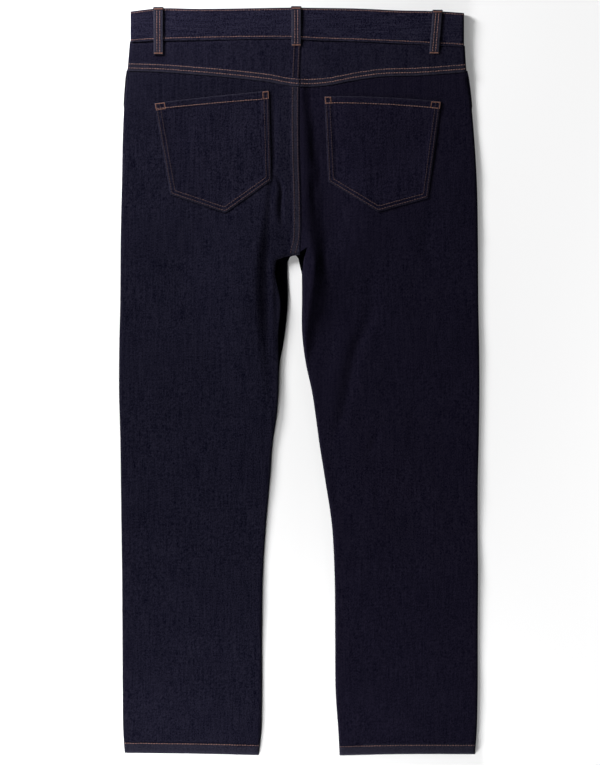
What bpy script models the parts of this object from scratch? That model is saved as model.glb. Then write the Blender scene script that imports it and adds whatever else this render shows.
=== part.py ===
"""Straight leg jeans lying flat on their front, back side up.

Metres, +Z up. The waist points to +Y and the hems to -Y. The wearer's left is at -X. The origin is on
the surface that the jeans lie on, under the middle of their box. The front is the lower layer, the back
the upper one, and the two meet along the outseams, the inseams and the crotch.
"""

from collections import namedtuple
from math import cos, pi, sin

import bmesh
import bpy
import numpy as np

# Cloth
WALL = 0.0015  # denim, with what its seams add
LOOP_WALL = 0.0013  # a belt loop, folded in three and pressed
TAPE_WALL = 0.0006  # the zip's woven tape
SEAM_GAP = 0.0003  # between two pieces that are sewn together
BAND_GAP = 0.0005  # under the waistband
POCKET_GAP = 0.0005  # under a back pocket
HOOK_GAP = 0.0010  # where a belt loop turns over the waistband's top edge
BACK_RISE = 0.0056  # outer face of the back above the outer face of the front
BAND_RISE = 0.0058  # the same at the waistband
EDGE_RISE = 0.0025  # where the back's edge ends over the front's edge
EDGE_WIDTH = 0.0030  # width over which the back turns down to an outseam or inseam

# Waist: both layers stand off the surface there, on the front's belt loops and button
WAIST_LIFT = 0.0021
WAIST_LIFT_FROM = 0.360
WAIST_LIFT_TO = 0.440
CENTRE_FRONT = -0.0035
BUTTON_Y = 0.464
BUTTON_LIFT = 0.0009
BUTTON_LIFT_WIDTH = 0.022

# Waistband
BAND_LEFT = -0.2209
BAND_RIGHT = 0.2158
BAND_UNDERLAP = 0.020  # the wearer's right end, inside
BAND_OVERLAP = 0.011  # the wearer's left end, outside
BUTTONHOLE_LENGTH = 0.020
BUTTONHOLE_WIDTH = 0.0050

# Front: pocket openings, fly and button
OPENING_TOP = 0.447
OPENING_WIDTH = 0.092
OPENING_DROP = 0.072
OPENING_BEYOND = 0.012  # past the panel's edges
ARC_STEPS = 10
FACING_BORDER = 0.016
FACING_INSET = 0.0050
PANEL_REACH = (-0.002, 0.012)  # lowest and highest that a cut through the front reaches
POCKET_REACH = (0.0, 0.030)  # and one through the back
NOTCH_REACH = (-0.004, 0.030)
ZIP_WIDTH = 0.024
ZIP_BOTTOM = 0.315
ZIP_TOP = 0.4180
SLIDER_SIZE = (0.0075, 0.0100, 0.0014)
BUTTON_RADIUS = 0.0085

LIP_WIDTH = 0.0080  # half width of the rise of both layers along the left inner thigh

SideRow = namedtuple("SideRow", "y left right")
BankRow = namedtuple("BankRow", "y x high high_reach low low_reach width")
LipRow = namedtuple("LipRow", "y height")
CrotchRow = namedtuple("CrotchRow", "x y outer_y")
BandRow = namedtuple("BandRow", "x bottom top")
LineRow = namedtuple("LineRow", "x y")
SeamRow = namedtuple("SeamRow", "y x")
Corner = namedtuple("Corner", "x y")
Loop = namedtuple("Loop", "name x_top x_end y_end side")

# The outer edge of each leg, from the waist to the hem
OUTSEAM = (
    SideRow(0.445, -0.2217, 0.2166),
    SideRow(0.410, -0.2247, 0.2187),
    SideRow(0.370, -0.2286, 0.2245),
    SideRow(0.320, -0.2311, 0.2291),
    SideRow(0.260, -0.2322, 0.2327),
    SideRow(0.190, -0.2338, 0.2341),
    SideRow(0.100, -0.2345, 0.2347),
    SideRow(0.040, -0.2358, 0.2358),
    SideRow(-0.015, -0.2360, 0.2361),
    SideRow(-0.075, -0.2344, 0.2353),
    SideRow(-0.135, -0.2336, 0.2340),
    SideRow(-0.200, -0.2328, 0.2340),
    SideRow(-0.250, -0.2321, 0.2344),
    SideRow(-0.330, -0.2316, 0.2339),
    SideRow(-0.410, -0.2312, 0.2337),
    SideRow(-0.465, -0.2303, 0.2322),
    SideRow(-0.490, -0.2286, 0.2302),
)

# The inner edge of each leg, from just under the crotch to the hem
INSEAM = (
    SideRow(0.140, -0.0318, 0.0034),
    SideRow(0.120, -0.0275, 0.0036),
    SideRow(0.105, -0.0245, 0.0036),
    SideRow(0.065, -0.0272, 0.0036),
    SideRow(0.025, -0.0272, 0.0082),
    SideRow(-0.015, -0.0272, 0.0168),
    SideRow(-0.050, -0.0300, 0.0220),
    SideRow(-0.080, -0.0345, 0.0260),
    SideRow(-0.130, -0.0383, 0.0340),
    SideRow(-0.190, -0.0435, 0.0428),
    SideRow(-0.250, -0.0474, 0.0461),
    SideRow(-0.330, -0.0488, 0.0470),
    SideRow(-0.410, -0.0488, 0.0478),
    SideRow(-0.465, -0.0503, 0.0515),
    SideRow(-0.490, -0.0530, 0.0527),
)

# The front's left inner edge, which reaches a little beyond the back's under the crotch
FRONT_INSEAM_LEFT = (
    SideRow(0.1400, -0.0158, 0.0),
    SideRow(0.0927, -0.0160, 0.0),
    SideRow(0.0665, -0.0187, 0.0),
    SideRow(0.0470, -0.0213, 0.0),
    SideRow(0.0270, -0.0252, 0.0),
    *(row for row in INSEAM if row.y < 0.014),
)

# The middle seam, the same line on the seat and on the front
SEAT_SEAM = (
    SeamRow(0.445, -0.0035),
    SeamRow(0.390, -0.0055),
    SeamRow(0.300, -0.0055),
    SeamRow(0.225, -0.0035),
    SeamRow(0.195, -0.0037),
    SeamRow(0.166, -0.0050),
)

# The crotch edge of each leg, from the foot of the middle seam to the top of the inseam
CROTCH_LEFT = (
    CrotchRow(-0.0050, 0.1650, 0.166),
    CrotchRow(-0.0180, 0.1625, 0.160),
    CrotchRow(-0.0300, 0.1580, 0.154),
)
CROTCH_RIGHT = (
    CrotchRow(-0.0050, 0.1650, 0.166),
    CrotchRow(-0.0030, 0.1580, 0.160),
    CrotchRow(0.0008, 0.1480, 0.152),
)

FRONT_CROTCH_LEFT = (
    CrotchRow(-0.0050, 0.1650, 0.166),
    CrotchRow(-0.0120, 0.1625, 0.160),
    CrotchRow(-0.0158, 0.1560, 0.154),
)

# Where the right back is folded away beside the foot of the middle seam
NOTCH = ((-0.0043, 0.1655), (0.0103, 0.1742), (0.0060, 0.1590), (0.0042, 0.1440), (-0.0080, 0.1440))

# Lines down the back where it is high on the left and drops to the right: the height on each side, how
# far in it reaches, and the half width of the drop
LEFT_BANK = (
    BankRow(0.285, -0.0400, 0.0000, 0.030, 0.0000, 0.010, 0.0040),
    BankRow(0.230, -0.0415, 0.0020, 0.060, 0.0002, 0.030, 0.0060),
    BankRow(0.170, -0.0480, 0.0080, 0.095, 0.0022, 0.040, 0.0075),
    BankRow(0.140, -0.0505, 0.0100, 0.100, 0.0028, 0.040, 0.0090),
    BankRow(0.110, -0.0500, 0.0100, 0.100, 0.0028, 0.040, 0.0090),
    BankRow(0.080, -0.0485, 0.0082, 0.090, 0.0022, 0.040, 0.0080),
    BankRow(0.045, -0.0455, 0.0052, 0.080, 0.0014, 0.040, 0.0065),
    BankRow(0.015, -0.0400, 0.0020, 0.060, 0.0004, 0.030, 0.0050),
    BankRow(-0.015, -0.0320, 0.0000, 0.040, 0.0000, 0.020, 0.0040),
)
RIGHT_BANK = (
    BankRow(0.400, 0.0000, 0.0000, 0.012, 0.0000, 0.016, 0.0040),
    BankRow(0.345, 0.0095, 0.0010, 0.016, -0.0024, 0.020, 0.0046),
    BankRow(0.280, 0.0195, 0.0015, 0.024, -0.0024, 0.018, 0.0050),
    BankRow(0.215, 0.0190, 0.0020, 0.024, -0.0024, 0.030, 0.0048),
    BankRow(0.185, 0.0215, 0.0040, 0.030, -0.0010, 0.036, 0.0045),
    BankRow(0.160, 0.0222, 0.0090, 0.036, 0.0010, 0.030, 0.0040),
    BankRow(0.140, 0.0222, 0.0120, 0.038, 0.0022, 0.026, 0.0040),
    BankRow(0.118, 0.0200, 0.0118, 0.036, 0.0022, 0.026, 0.0040),
    BankRow(0.095, 0.0160, 0.0098, 0.032, 0.0012, 0.026, 0.0040),
    BankRow(0.060, 0.0116, 0.0046, 0.026, 0.0000, 0.030, 0.0035),
    BankRow(0.010, 0.0110, 0.0000, 0.020, 0.0000, 0.020, 0.0030),
)
LEFT_LIP = (
    LipRow(0.180, 0.0000),
    LipRow(0.165, 0.0016),
    LipRow(0.150, 0.0040),
    LipRow(0.120, 0.0050),
    LipRow(0.090, 0.0045),
    LipRow(0.060, 0.0025),
    LipRow(0.030, 0.0000),
)

WAISTBAND = (
    BandRow(-0.2209, 0.4428, 0.4831),
    BandRow(-0.1850, 0.4446, 0.4872),
    BandRow(-0.1350, 0.4452, 0.4866),
    BandRow(-0.0500, 0.4470, 0.4876),
    BandRow(-0.0100, 0.4472, 0.4882),
    BandRow(0.0275, 0.4452, 0.4878),
    BandRow(0.0700, 0.4440, 0.4872),
    BandRow(0.1320, 0.4412, 0.4846),
    BandRow(0.1800, 0.4389, 0.4836),
    BandRow(0.2158, 0.4370, 0.4812),
)

YOKE_SEAM = (
    LineRow(-0.2260, 0.4070),
    LineRow(-0.1840, 0.4058),
    LineRow(-0.1366, 0.4025),
    LineRow(-0.0894, 0.3984),
    LineRow(-0.0415, 0.3930),
    LineRow(-0.0035, 0.3868),
    LineRow(0.0377, 0.3883),
    LineRow(0.0717, 0.3947),
    LineRow(0.1045, 0.3994),
    LineRow(0.1550, 0.4012),
    LineRow(0.2200, 0.4059),
)

HEM_LEFT = (LineRow(-0.2290, -0.4872), LineRow(-0.1300, -0.4884), LineRow(-0.0530, -0.4902))
HEM_RIGHT = (LineRow(0.0527, -0.4906), LineRow(0.1320, -0.4889), LineRow(0.2310, -0.4889))

BACK_POCKETS = {
    "left": (
        Corner(-0.1898, 0.3633),
        Corner(-0.0392, 0.3798),
        Corner(-0.0361, 0.2646),
        Corner(-0.0966, 0.2219),
        Corner(-0.1688, 0.2459),
    ),
    "right": (
        Corner(0.0326, 0.3723),
        Corner(0.1860, 0.3655),
        Corner(0.1688, 0.2406),
        Corner(0.1029, 0.2226),
        Corner(0.0379, 0.2625),
    ),
}

BELT_LOOPS = (
    Loop("belt_loop_back_left", -0.1842, -0.1842, 0.4265, "back"),
    Loop("belt_loop_back_centre", -0.0039, -0.0039, 0.4373, "back"),
    Loop("belt_loop_back_right", 0.1809, 0.1762, 0.4271, "back"),
    Loop("belt_loop_front_left", -0.1150, -0.1150, 0.4310, "front"),
    Loop("belt_loop_front_right", 0.1080, 0.1080, 0.4310, "front"),
)
LOOP_WIDTH = 0.0125
LOOP_BOW = 0.0004  # how far a loop stands off the middle of the band

# Heights of the sections, between the yoke seam and the crotch and between the crotch and the hem
SEAT_SECTIONS = (0.385, 0.355, 0.325, 0.295, 0.265, 0.235, 0.212, 0.192, 0.177)
LEG_SECTIONS = (0.140, 0.126, 0.110, 0.094, 0.076, 0.056, 0.034, 0.008, -0.022, -0.060, -0.110)
SHIN_SECTIONS = (-0.170, -0.240, -0.320, -0.400, -0.460)
FRONT_TOP = 0.446
FRONT_TOP_SECTIONS = (0.425, 0.405)
BACK_TOP = 0.400
YOKE_PARTS = 3  # sections between the band and the yoke seam
OUTER_OFFSETS = (0.0, 0.0009, 0.0030)
INNER_OFFSETS = (0.048, 0.034, 0.0255, 0.0200, 0.0150, 0.0090, 0.0030, 0.0009, 0.0)
MIDDLE_COLUMNS = 5
SIDES = {"left": -1, "right": 1}


def smooth(table, column, at):
    """A table's column where its first column equals at, on a smooth curve through the rows."""
    keys = np.array([row[0] for row in table])
    values = np.array([getattr(row, column) for row in table])
    order = np.argsort(keys)
    keys, values = keys[order], values[order]
    slopes = np.gradient(values, keys)
    at = np.clip(at, keys[0], keys[-1])
    i = np.clip(np.searchsorted(keys, at) - 1, 0, len(keys) - 2)
    span = keys[i + 1] - keys[i]
    t = (at - keys[i]) / span
    near = (1 + 2 * t) * (1 - t) ** 2 * values[i] + t * (1 - t) ** 2 * span * slopes[i]
    far = t**2 * (3 - 2 * t) * values[i + 1] - t**2 * (1 - t) * span * slopes[i + 1]
    return near + far


def ease(t):
    t = np.clip(t, 0.0, 1.0)
    return t * t * (3 - 2 * t)


def lift(x, y):
    """How far the outer face of the front stands off the surface below."""
    waist = WAIST_LIFT * ease((y - WAIST_LIFT_FROM) / (WAIST_LIFT_TO - WAIST_LIFT_FROM))
    from_button = np.hypot(x - CENTRE_FRONT, y - BUTTON_Y) / BUTTON_LIFT_WIDTH
    button = BUTTON_LIFT * np.exp(-(from_button**2))
    from_edge = (x - smooth(INSEAM, "left", y)) / LIP_WIDTH
    lip = smooth(LEFT_LIP, "height", y) * np.exp(-(from_edge**2))
    return waist + button + lip


def bank(table, x, y):
    """Height of the back beside one line where it drops."""
    across = x - smooth(table, "x", y)
    width = smooth(table, "width", y)
    high = smooth(table, "high", y) * (1 - ease((-across - width) / smooth(table, "high_reach", y)))
    low = smooth(table, "low", y) * (1 - ease((across - width) / smooth(table, "low_reach", y)))
    share = ease((across + width) / (2 * width))
    return high * (1 - share) + low * share


def back_height(x, y, distance):
    """Height of the outer face of the back, at a distance in from a turned edge."""
    t = 1 - np.clip(distance / EDGE_WIDTH, 0.0, 1.0)
    rise = BACK_RISE - EDGE_RISE + bank(LEFT_BANK, x, y) + bank(RIGHT_BANK, x, y)
    return lift(x, y) + EDGE_RISE + rise * np.sqrt(1 - t * t)


def material(name, colour, roughness, metallic=0.0):
    made = bpy.data.materials.new(name)
    made.use_nodes = True
    shader = made.node_tree.nodes["Principled BSDF"]
    shader.inputs["Base Color"].default_value = (*colour, 1.0)
    shader.inputs["Roughness"].default_value = roughness
    shader.inputs["Metallic"].default_value = metallic
    return made


def add_object(name, mesh, collection, finish=None):
    made = bpy.data.objects.new(name, mesh)
    collection.objects.link(made)
    if finish:
        mesh.materials.append(finish)
    return made


def grid_mesh(name, points, up):
    """A mesh through a grid of points, rows by columns, whose faces look up or down."""
    bm = bmesh.new()
    rows = [[bm.verts.new(point) for point in row] for row in points]
    for near, far in zip(rows, rows[1:]):
        for a, b, c, d in zip(near, near[1:], far[1:], far):
            bm.faces.new((a, b, c, d))
    bm.normal_update()
    if (sum(face.normal.z * face.calc_area() for face in bm.faces) > 0) != up:
        bmesh.ops.reverse_faces(bm, faces=bm.faces[:])
    mesh = bpy.data.meshes.new(name)
    bm.to_mesh(mesh)
    bm.free()
    return mesh


def add_wall(made, thickness, side=-1.0):
    """Gives an open surface its thickness, on the side away from its normals unless side is 1."""
    wall = made.modifiers.new("wall", "SOLIDIFY")
    wall.thickness = thickness
    wall.offset = side
    wall.use_even_offset = True
    wall.thickness_clamp = 2.0


def prism(name, outline, low, high, collection):
    """A closed block over a flat outline, which cuts cloth to a shape."""
    bm = bmesh.new()
    face = bm.faces.new([bm.verts.new((x, y, low)) for x, y in outline])
    top = bmesh.ops.extrude_face_region(bm, geom=[face])["geom"]
    moved = [part for part in top if isinstance(part, bmesh.types.BMVert)]
    bmesh.ops.translate(bm, verts=moved, vec=(0.0, 0.0, high - low))
    bmesh.ops.recalc_face_normals(bm, faces=bm.faces[:])
    mesh = bpy.data.meshes.new(name)
    bm.to_mesh(mesh)
    bm.free()
    made = add_object(name, mesh, collection)
    made.hide_render = True
    made.display_type = "WIRE"
    return made


def add_cut(made, cutter, operation):
    cut = made.modifiers.new("cut", "BOOLEAN")
    cut.object = cutter
    cut.operation = operation
    cut.solver = "EXACT"


def edge_line(side, top_sections, crotch, inseam):
    """The inner edge of a leg: its plan points, each with the height of the outseam point facing it."""
    seam = [(smooth(SEAT_SEAM, "x", y) + SIDES[side] * SEAM_GAP / 2, y, y) for y in top_sections]
    turned = [(row.x + SIDES[side] * SEAM_GAP / 2, row.y, row.outer_y) for row in crotch]
    hem = HEM_LEFT if side == "left" else HEM_RIGHT
    bottom = hem[-1].y if side == "left" else hem[0].y
    sections = (*LEG_SECTIONS, *SHIN_SECTIONS, bottom)
    leg = [(smooth(inseam, side, y), y, y) for y in sections]
    return seam + turned + leg, len(seam)


def inward_normals(line, inside):
    """Unit vectors into the cloth at each point of a plan line; inside is a point on the cloth's side."""
    line = np.asarray(line)
    along = np.gradient(line, axis=0)
    along /= np.linalg.norm(along, axis=1, keepdims=True)
    across = np.stack([-along[:, 1], along[:, 0]], axis=1)
    if ((np.asarray(inside) - line[-1]) * across[-1]).sum() < 0:
        across = -across
    return across


def leg_plan(side, top_sections, top_curve, crotch, inseam):
    """Plan points of a leg, sections by columns from the outseam to the middle, and which rows are turned."""
    inner, seam_rows = edge_line(side, top_sections, crotch, inseam)
    inner_xy = np.array([(x, y) for x, y, _ in inner])
    outer_y = np.array([row[2] for row in inner])
    outer_xy = np.stack([smooth(OUTSEAM, side, outer_y), outer_y], axis=1)
    middle = (inner_xy[-1] + outer_xy[-1]) / 2
    inner_in = inward_normals(inner_xy, middle)
    inner_in[:seam_rows] = (SIDES[side], 0.0)
    outer_in = inward_normals(outer_xy, middle)
    outer_part = [outer_xy + outer_in * offset for offset in OUTER_OFFSETS]
    inner_part = [inner_xy + inner_in * min(offset, EDGE_WIDTH) for offset in INNER_OFFSETS]
    towards_outer = outer_part[-1] - inner_part[0]
    towards_outer /= np.linalg.norm(towards_outer, axis=1, keepdims=True)
    for column, offset in enumerate(INNER_OFFSETS):
        inner_part[column] = inner_part[column] + towards_outer * max(offset - EDGE_WIDTH, 0.0)
    shares = np.arange(1, MIDDLE_COLUMNS + 1) / (MIDDLE_COLUMNS + 1)
    middle_part = [outer_part[-1] * (1 - share) + inner_part[0] * share for share in shares]
    plan = np.stack(outer_part + middle_part + inner_part, axis=1)
    follow_curves(plan, side, top_curve)
    return plan, seam_rows


def follow_curves(plan, side, top_curve):
    """Bends the topmost sections to the seam above them, and the lowest to the hem."""
    bend = top_curve(plan[0, :, 0]) - plan[0, :, 1]
    for row, share in ((0, 1.0), (1, 0.6), (2, 0.25)):
        plan[row, :, 1] += bend * share
    hem = HEM_LEFT if side == "left" else HEM_RIGHT
    plan[-1, :, 1] = smooth(hem, "y", plan[-1, :, 0])


def column_distances(plan, seam_rows):
    """How far each plan point is in from a turned edge, which the middle seam is not."""
    rows, columns = plan.shape[:2]
    far = np.full((rows, columns), 1.0)
    for column, offset in enumerate(OUTER_OFFSETS):
        far[:, column] = offset
    for column, offset in enumerate(INNER_OFFSETS):
        far[seam_rows:, columns - len(INNER_OFFSETS) + column] = offset
    return far


def with_height(plan, height):
    return np.concatenate([plan, height[..., None]], axis=2)


def back_leg_plan(side):
    def under_yoke(x):
        return smooth(YOKE_SEAM, "y", x) - SEAM_GAP / 2

    crotch = CROTCH_LEFT if side == "left" else CROTCH_RIGHT
    return leg_plan(side, (BACK_TOP, *SEAT_SECTIONS), under_yoke, crotch, INSEAM)


def back_leg(side, collection, finish):
    plan, seam_rows = back_leg_plan(side)
    distances = column_distances(plan, seam_rows)
    points = with_height(plan, back_height(plan[..., 0], plan[..., 1], distances))
    name = f"back_leg_{side}"
    made = add_object(name, grid_mesh(name, points, up=True), collection, finish)
    add_wall(made, WALL)
    return made


def front_leg(side, collection, finish):
    def under_band(x):
        return smooth(WAISTBAND, "bottom", x) - BAND_GAP

    crotch = FRONT_CROTCH_LEFT if side == "left" else CROTCH_RIGHT
    inseam = FRONT_INSEAM_LEFT if side == "left" else INSEAM
    sections = (FRONT_TOP, *FRONT_TOP_SECTIONS, *SEAT_SECTIONS)
    plan, _ = leg_plan(side, sections, under_band, crotch, inseam)
    points = with_height(plan, lift(plan[..., 0], plan[..., 1]))
    name = f"front_leg_{side}"
    made = add_object(name, grid_mesh(name, points, up=False), collection, finish)
    add_wall(made, WALL)
    return made


def opening_arc(side, border):
    """The scooped edge of a front pocket, from the outseam round to the band, wider by border."""
    corner_x = smooth(OUTSEAM, side, OPENING_TOP)
    arc = []
    for step in range(ARC_STEPS + 1):
        angle = pi / 2 * (1 - step / ARC_STEPS)
        x = corner_x - SIDES[side] * (OPENING_WIDTH + border) * cos(angle)
        arc.append((x, OPENING_TOP - (OPENING_DROP + border) * sin(angle)))
    return arc


def front_pocket(side, panel, collection, cutters, finish):
    """Cuts the scooped opening into the front and backs it with a facing."""
    sign = SIDES[side]
    top = OPENING_TOP + OPENING_BEYOND
    arc = opening_arc(side, 0.0)
    outer_x = arc[0][0] + sign * OPENING_BEYOND
    outline = [(outer_x, arc[0][1]), *arc, (arc[-1][0], top), (outer_x, top)]
    opening = prism(f"opening_{side}", outline, *PANEL_REACH, cutters)

    arc = opening_arc(side, FACING_BORDER)
    foot = (smooth(OUTSEAM, side, arc[0][1]) - sign * FACING_INSET, arc[0][1])
    head = (smooth(OUTSEAM, side, OPENING_TOP) - sign * FACING_INSET, top)
    inner = [point for point in arc if sign * point[0] < sign * head[0] - FACING_INSET]
    outline = [foot, *inner, (arc[-1][0], top), head]
    shape = prism(f"facing_shape_{side}", outline, *PANEL_REACH, cutters)
    facing = add_object(f"pocket_facing_{side}", panel.data.copy(), collection)
    facing.data.materials.clear()
    facing.data.materials.append(finish)
    facing.location.z = WALL + SEAM_GAP
    add_wall(facing, WALL)
    add_cut(facing, shape, "INTERSECT")
    add_cut(panel, opening, "DIFFERENCE")


def back_pocket(side, panel, collection, cutters, finish):
    """A patch pocket of the panel's own form, laid on it."""
    shape = prism(f"pocket_shape_{side}", BACK_POCKETS[side], *POCKET_REACH, cutters)
    pocket = add_object(f"back_pocket_{side}", panel.data.copy(), collection)
    pocket.data.materials.clear()
    pocket.data.materials.append(finish)
    pocket.location.z = WALL + POCKET_GAP
    add_wall(pocket, WALL)
    add_cut(pocket, shape, "INTERSECT")


def yoke(side, collection, finish):
    """Half of the yoke, between the band and the yoke seam, in the back leg's own columns."""
    columns = back_leg_plan(side)[0][0, :, 0]
    rows = []
    for part in np.linspace(0.0, 1.0, YOKE_PARTS + 1):
        top = smooth(WAISTBAND, "bottom", columns) - BAND_GAP
        bottom = smooth(YOKE_SEAM, "y", columns) + SEAM_GAP / 2
        ys = top * (1 - part) + bottom * part
        seam_x = smooth(SEAT_SEAM, "x", ys[-1]) + SIDES[side] * SEAM_GAP / 2
        side_x = smooth(OUTSEAM, side, ys[0])
        shares = (columns - columns[0]) / (columns[-1] - columns[0])
        rows.append(np.stack([side_x + (seam_x - side_x) * shares, ys], axis=1))
    rows[-1][:, 0] = columns
    plan = np.array(rows)
    distances = np.full(plan.shape[:2], 1.0)
    distances[:, : len(OUTER_OFFSETS)] = OUTER_OFFSETS
    points = with_height(plan, back_height(plan[..., 0], plan[..., 1], distances))
    name = f"yoke_{side}"
    made = add_object(name, grid_mesh(name, points, up=True), collection, finish)
    add_wall(made, WALL)


def band_path():
    """The waistband's outer face seen from above its edge: x, and height over the front's outer face."""
    radius = BAND_RISE / 2
    tuck = WALL + SEAM_GAP
    path = [(CENTRE_FRONT - BAND_UNDERLAP, tuck), (CENTRE_FRONT, tuck)]
    path += [(CENTRE_FRONT + BAND_OVERLAP + 0.002, tuck), (CENTRE_FRONT + 0.045, 0.0)]
    path += [(0.100, 0.0), (0.160, 0.0)]
    quarters = 4
    for end, sign in ((BAND_RIGHT, 1), (BAND_LEFT, -1)):
        for step in range(quarters + 1):
            angle = -pi / 2 + pi * step / quarters
            x = end + sign * radius * (cos(angle) - 1)
            path.append((x, radius + sign * radius * sin(angle)))
        if sign == 1:
            path += [(x, BAND_RISE) for x in (0.160, 0.100, 0.045, 0.0, -0.045, -0.100, -0.160)]
    path += [(-0.160, 0.0), (-0.100, 0.0), (-0.045, 0.0), (CENTRE_FRONT - 0.012, 0.0)]
    path += [(CENTRE_FRONT, 0.0), (CENTRE_FRONT + BAND_OVERLAP, 0.0)]
    return path


def waistband(collection, cutters, finish):
    path = np.array(band_path())
    bottom = smooth(WAISTBAND, "bottom", path[:, 0])
    top = smooth(WAISTBAND, "top", path[:, 0])
    rows = []
    for part in (0.0, 0.35, 0.7, 1.0):
        y = bottom * (1 - part) + top * part
        rows.append(np.stack([path[:, 0], y, lift(path[:, 0], y) + path[:, 1]], axis=1))
    # Its lower faces outweigh its upper ones by the overlap, so an outward strip looks down in sum
    mesh = grid_mesh("waistband", np.array(rows), up=False)
    made = add_object("waistband", mesh, collection, finish)
    add_wall(made, WALL)
    half_length, half_width = BUTTONHOLE_LENGTH / 2, BUTTONHOLE_WIDTH / 2
    left = CENTRE_FRONT - half_length - 0.004
    outline = (
        (left, BUTTON_Y - half_width),
        (CENTRE_FRONT + half_width, BUTTON_Y - half_width),
        (CENTRE_FRONT + half_width, BUTTON_Y + half_width),
        (left, BUTTON_Y + half_width),
    )
    hole = prism("buttonhole", outline, 0.0, WAIST_LIFT + BUTTON_LIFT + WALL + SEAM_GAP / 2, cutters)
    add_cut(made, hole, "DIFFERENCE")


def belt_loop(loop, collection, finish):
    """A strip that hooks over the band's top edge and ends just under the band."""
    up = loop.side == "back"
    sign = 1 if up else -1
    band_face = BAND_RISE if up else 0.0
    panel_face = BACK_RISE if up else 0.0
    band_bottom = smooth(WAISTBAND, "bottom", loop.x_end)
    band_top = smooth(WAISTBAND, "top", loop.x_top)
    away = sign * SEAM_GAP
    bow = sign * (SEAM_GAP + LOOP_BOW)
    # y, and height of the loop's inner face over the front's outer face
    path = (
        (band_top + HOOK_GAP, band_face - sign * WALL),
        (band_top + HOOK_GAP, band_face + away),
        (band_top - 0.006, band_face + bow),
        ((band_top + band_bottom) / 2, band_face + bow),
        (band_bottom + 0.005, band_face + bow),
        (band_bottom - 0.002, panel_face + bow),
        (loop.y_end, panel_face + away),
    )
    points = []
    for y, height in path:
        share = (y - loop.y_end) / (band_top - loop.y_end)
        middle = loop.x_end + (loop.x_top - loop.x_end) * share
        z = lift(middle, y) + height
        points.append([(middle + step * LOOP_WIDTH / 2, y, z) for step in (-1, 0, 1)])
    made = add_object(loop.name, grid_mesh(loop.name, points, up), collection, finish)
    add_wall(made, LOOP_WALL, side=1.0)


def fly_zip(collection, finish):
    """The zip's tape behind the fly, from its foot to the slider."""
    rows = []
    for y in np.linspace(ZIP_BOTTOM, ZIP_TOP, 6):
        middle = smooth(SEAT_SEAM, "x", y)
        xs = [middle + step * ZIP_WIDTH / 2 for step in (-1, 0, 1)]
        height = max(lift(x, y) for x in xs) + WALL + 2 * SEAM_GAP
        rows.append([(x, y, height) for x in xs])
    made = add_object("fly_zip", grid_mesh("fly_zip", rows, up=False), collection, finish)
    add_wall(made, TAPE_WALL)


def zip_slider(collection, finish):
    """The slider at the top of the closed zip, lying between the two layers."""
    y = ZIP_TOP + SEAM_GAP + SLIDER_SIZE[1] / 2
    x = smooth(SEAT_SEAM, "x", y)
    z = lift(x, y + SLIDER_SIZE[1] / 2) + WALL + 2 * SEAM_GAP + SLIDER_SIZE[2] / 2
    bpy.ops.mesh.primitive_cube_add(size=1.0, location=(x, y, z))
    made = bpy.context.object
    made.name = made.data.name = "zip_slider"
    made.scale = SLIDER_SIZE
    bpy.ops.object.transform_apply(location=False, rotation=False, scale=True)
    for holder in made.users_collection:
        holder.objects.unlink(made)
    collection.objects.link(made)
    made.data.materials.append(finish)
    bevel = made.modifiers.new("edges", "BEVEL")
    bevel.width = 0.0005
    bevel.segments = 2


def waist_button(collection, finish):
    """A shank button: a domed head below the band, and its shank up through the buttonhole."""
    top = WAIST_LIFT + BUTTON_LIFT + WALL + SEAM_GAP / 2
    # radius and height, up the axis from the dome to the top of the shank, then turned round
    profile = (
        (0.0, top),
        (0.0018, top),
        (0.0018, 0.0022),
        (0.0078, 0.0022),
        (BUTTON_RADIUS, 0.0017),
        (BUTTON_RADIUS, 0.0011),
        (0.0078, 0.0006),
        (0.0060, 0.0005),
        (0.0, 0.0003),
    )
    mesh = bpy.data.meshes.new("waist_button")
    edges = [(i, i + 1) for i in range(len(profile) - 1)]
    mesh.from_pydata([(radius, 0.0, z) for radius, z in profile], edges, [])
    made = add_object("waist_button", mesh, collection, finish)
    made.location = (CENTRE_FRONT, BUTTON_Y, 0.0)
    screw = made.modifiers.new("turned", "SCREW")
    screw.steps = screw.render_steps = 24
    screw.use_merge_vertices = True
    screw.merge_threshold = 0.00005


def build():
    for leftover in list(bpy.data.objects):
        bpy.data.objects.remove(leftover, do_unlink=True)
    collection = bpy.data.collections.new("straight_leg_jeans")
    cutters = bpy.data.collections.new("cutters")
    bpy.context.scene.collection.children.link(collection)
    bpy.context.scene.collection.children.link(cutters)

    for side in SIDES:
        denim = material(f"indigo_denim_{side}", (0.011, 0.010, 0.022), 0.85)
        back = back_leg(side, collection, denim)
        if side == "right":
            add_cut(back, prism("notch", NOTCH, *NOTCH_REACH, cutters), "DIFFERENCE")
        pocket_denim = material(f"pocket_denim_{side}", (0.013, 0.012, 0.025), 0.85)
        back_pocket(side, back, collection, cutters, pocket_denim)
        yoke_denim = material(f"yoke_denim_{side}", (0.014, 0.013, 0.027), 0.85)
        yoke(side, collection, yoke_denim)
        front_denim = material(f"front_denim_{side}", (0.011, 0.010, 0.022), 0.85)
        front = front_leg(side, collection, front_denim)
        facing_denim = material(f"facing_denim_{side}", (0.012, 0.011, 0.023), 0.88)
        front_pocket(side, front, collection, cutters, facing_denim)
    waistband(collection, cutters, material("band_denim", (0.016, 0.015, 0.029), 0.85))
    for loop in BELT_LOOPS:
        belt_loop(loop, collection, material(f"{loop.name}_denim", (0.018, 0.018, 0.034), 0.85))
    fly_zip(collection, material("zip_tape", (0.012, 0.011, 0.022), 0.8))
    zip_slider(collection, material("slider_metal", (0.55, 0.40, 0.22), 0.35, 1.0))
    waist_button(collection, material("button_metal", (0.60, 0.43, 0.25), 0.32, 1.0))


build()
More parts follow.
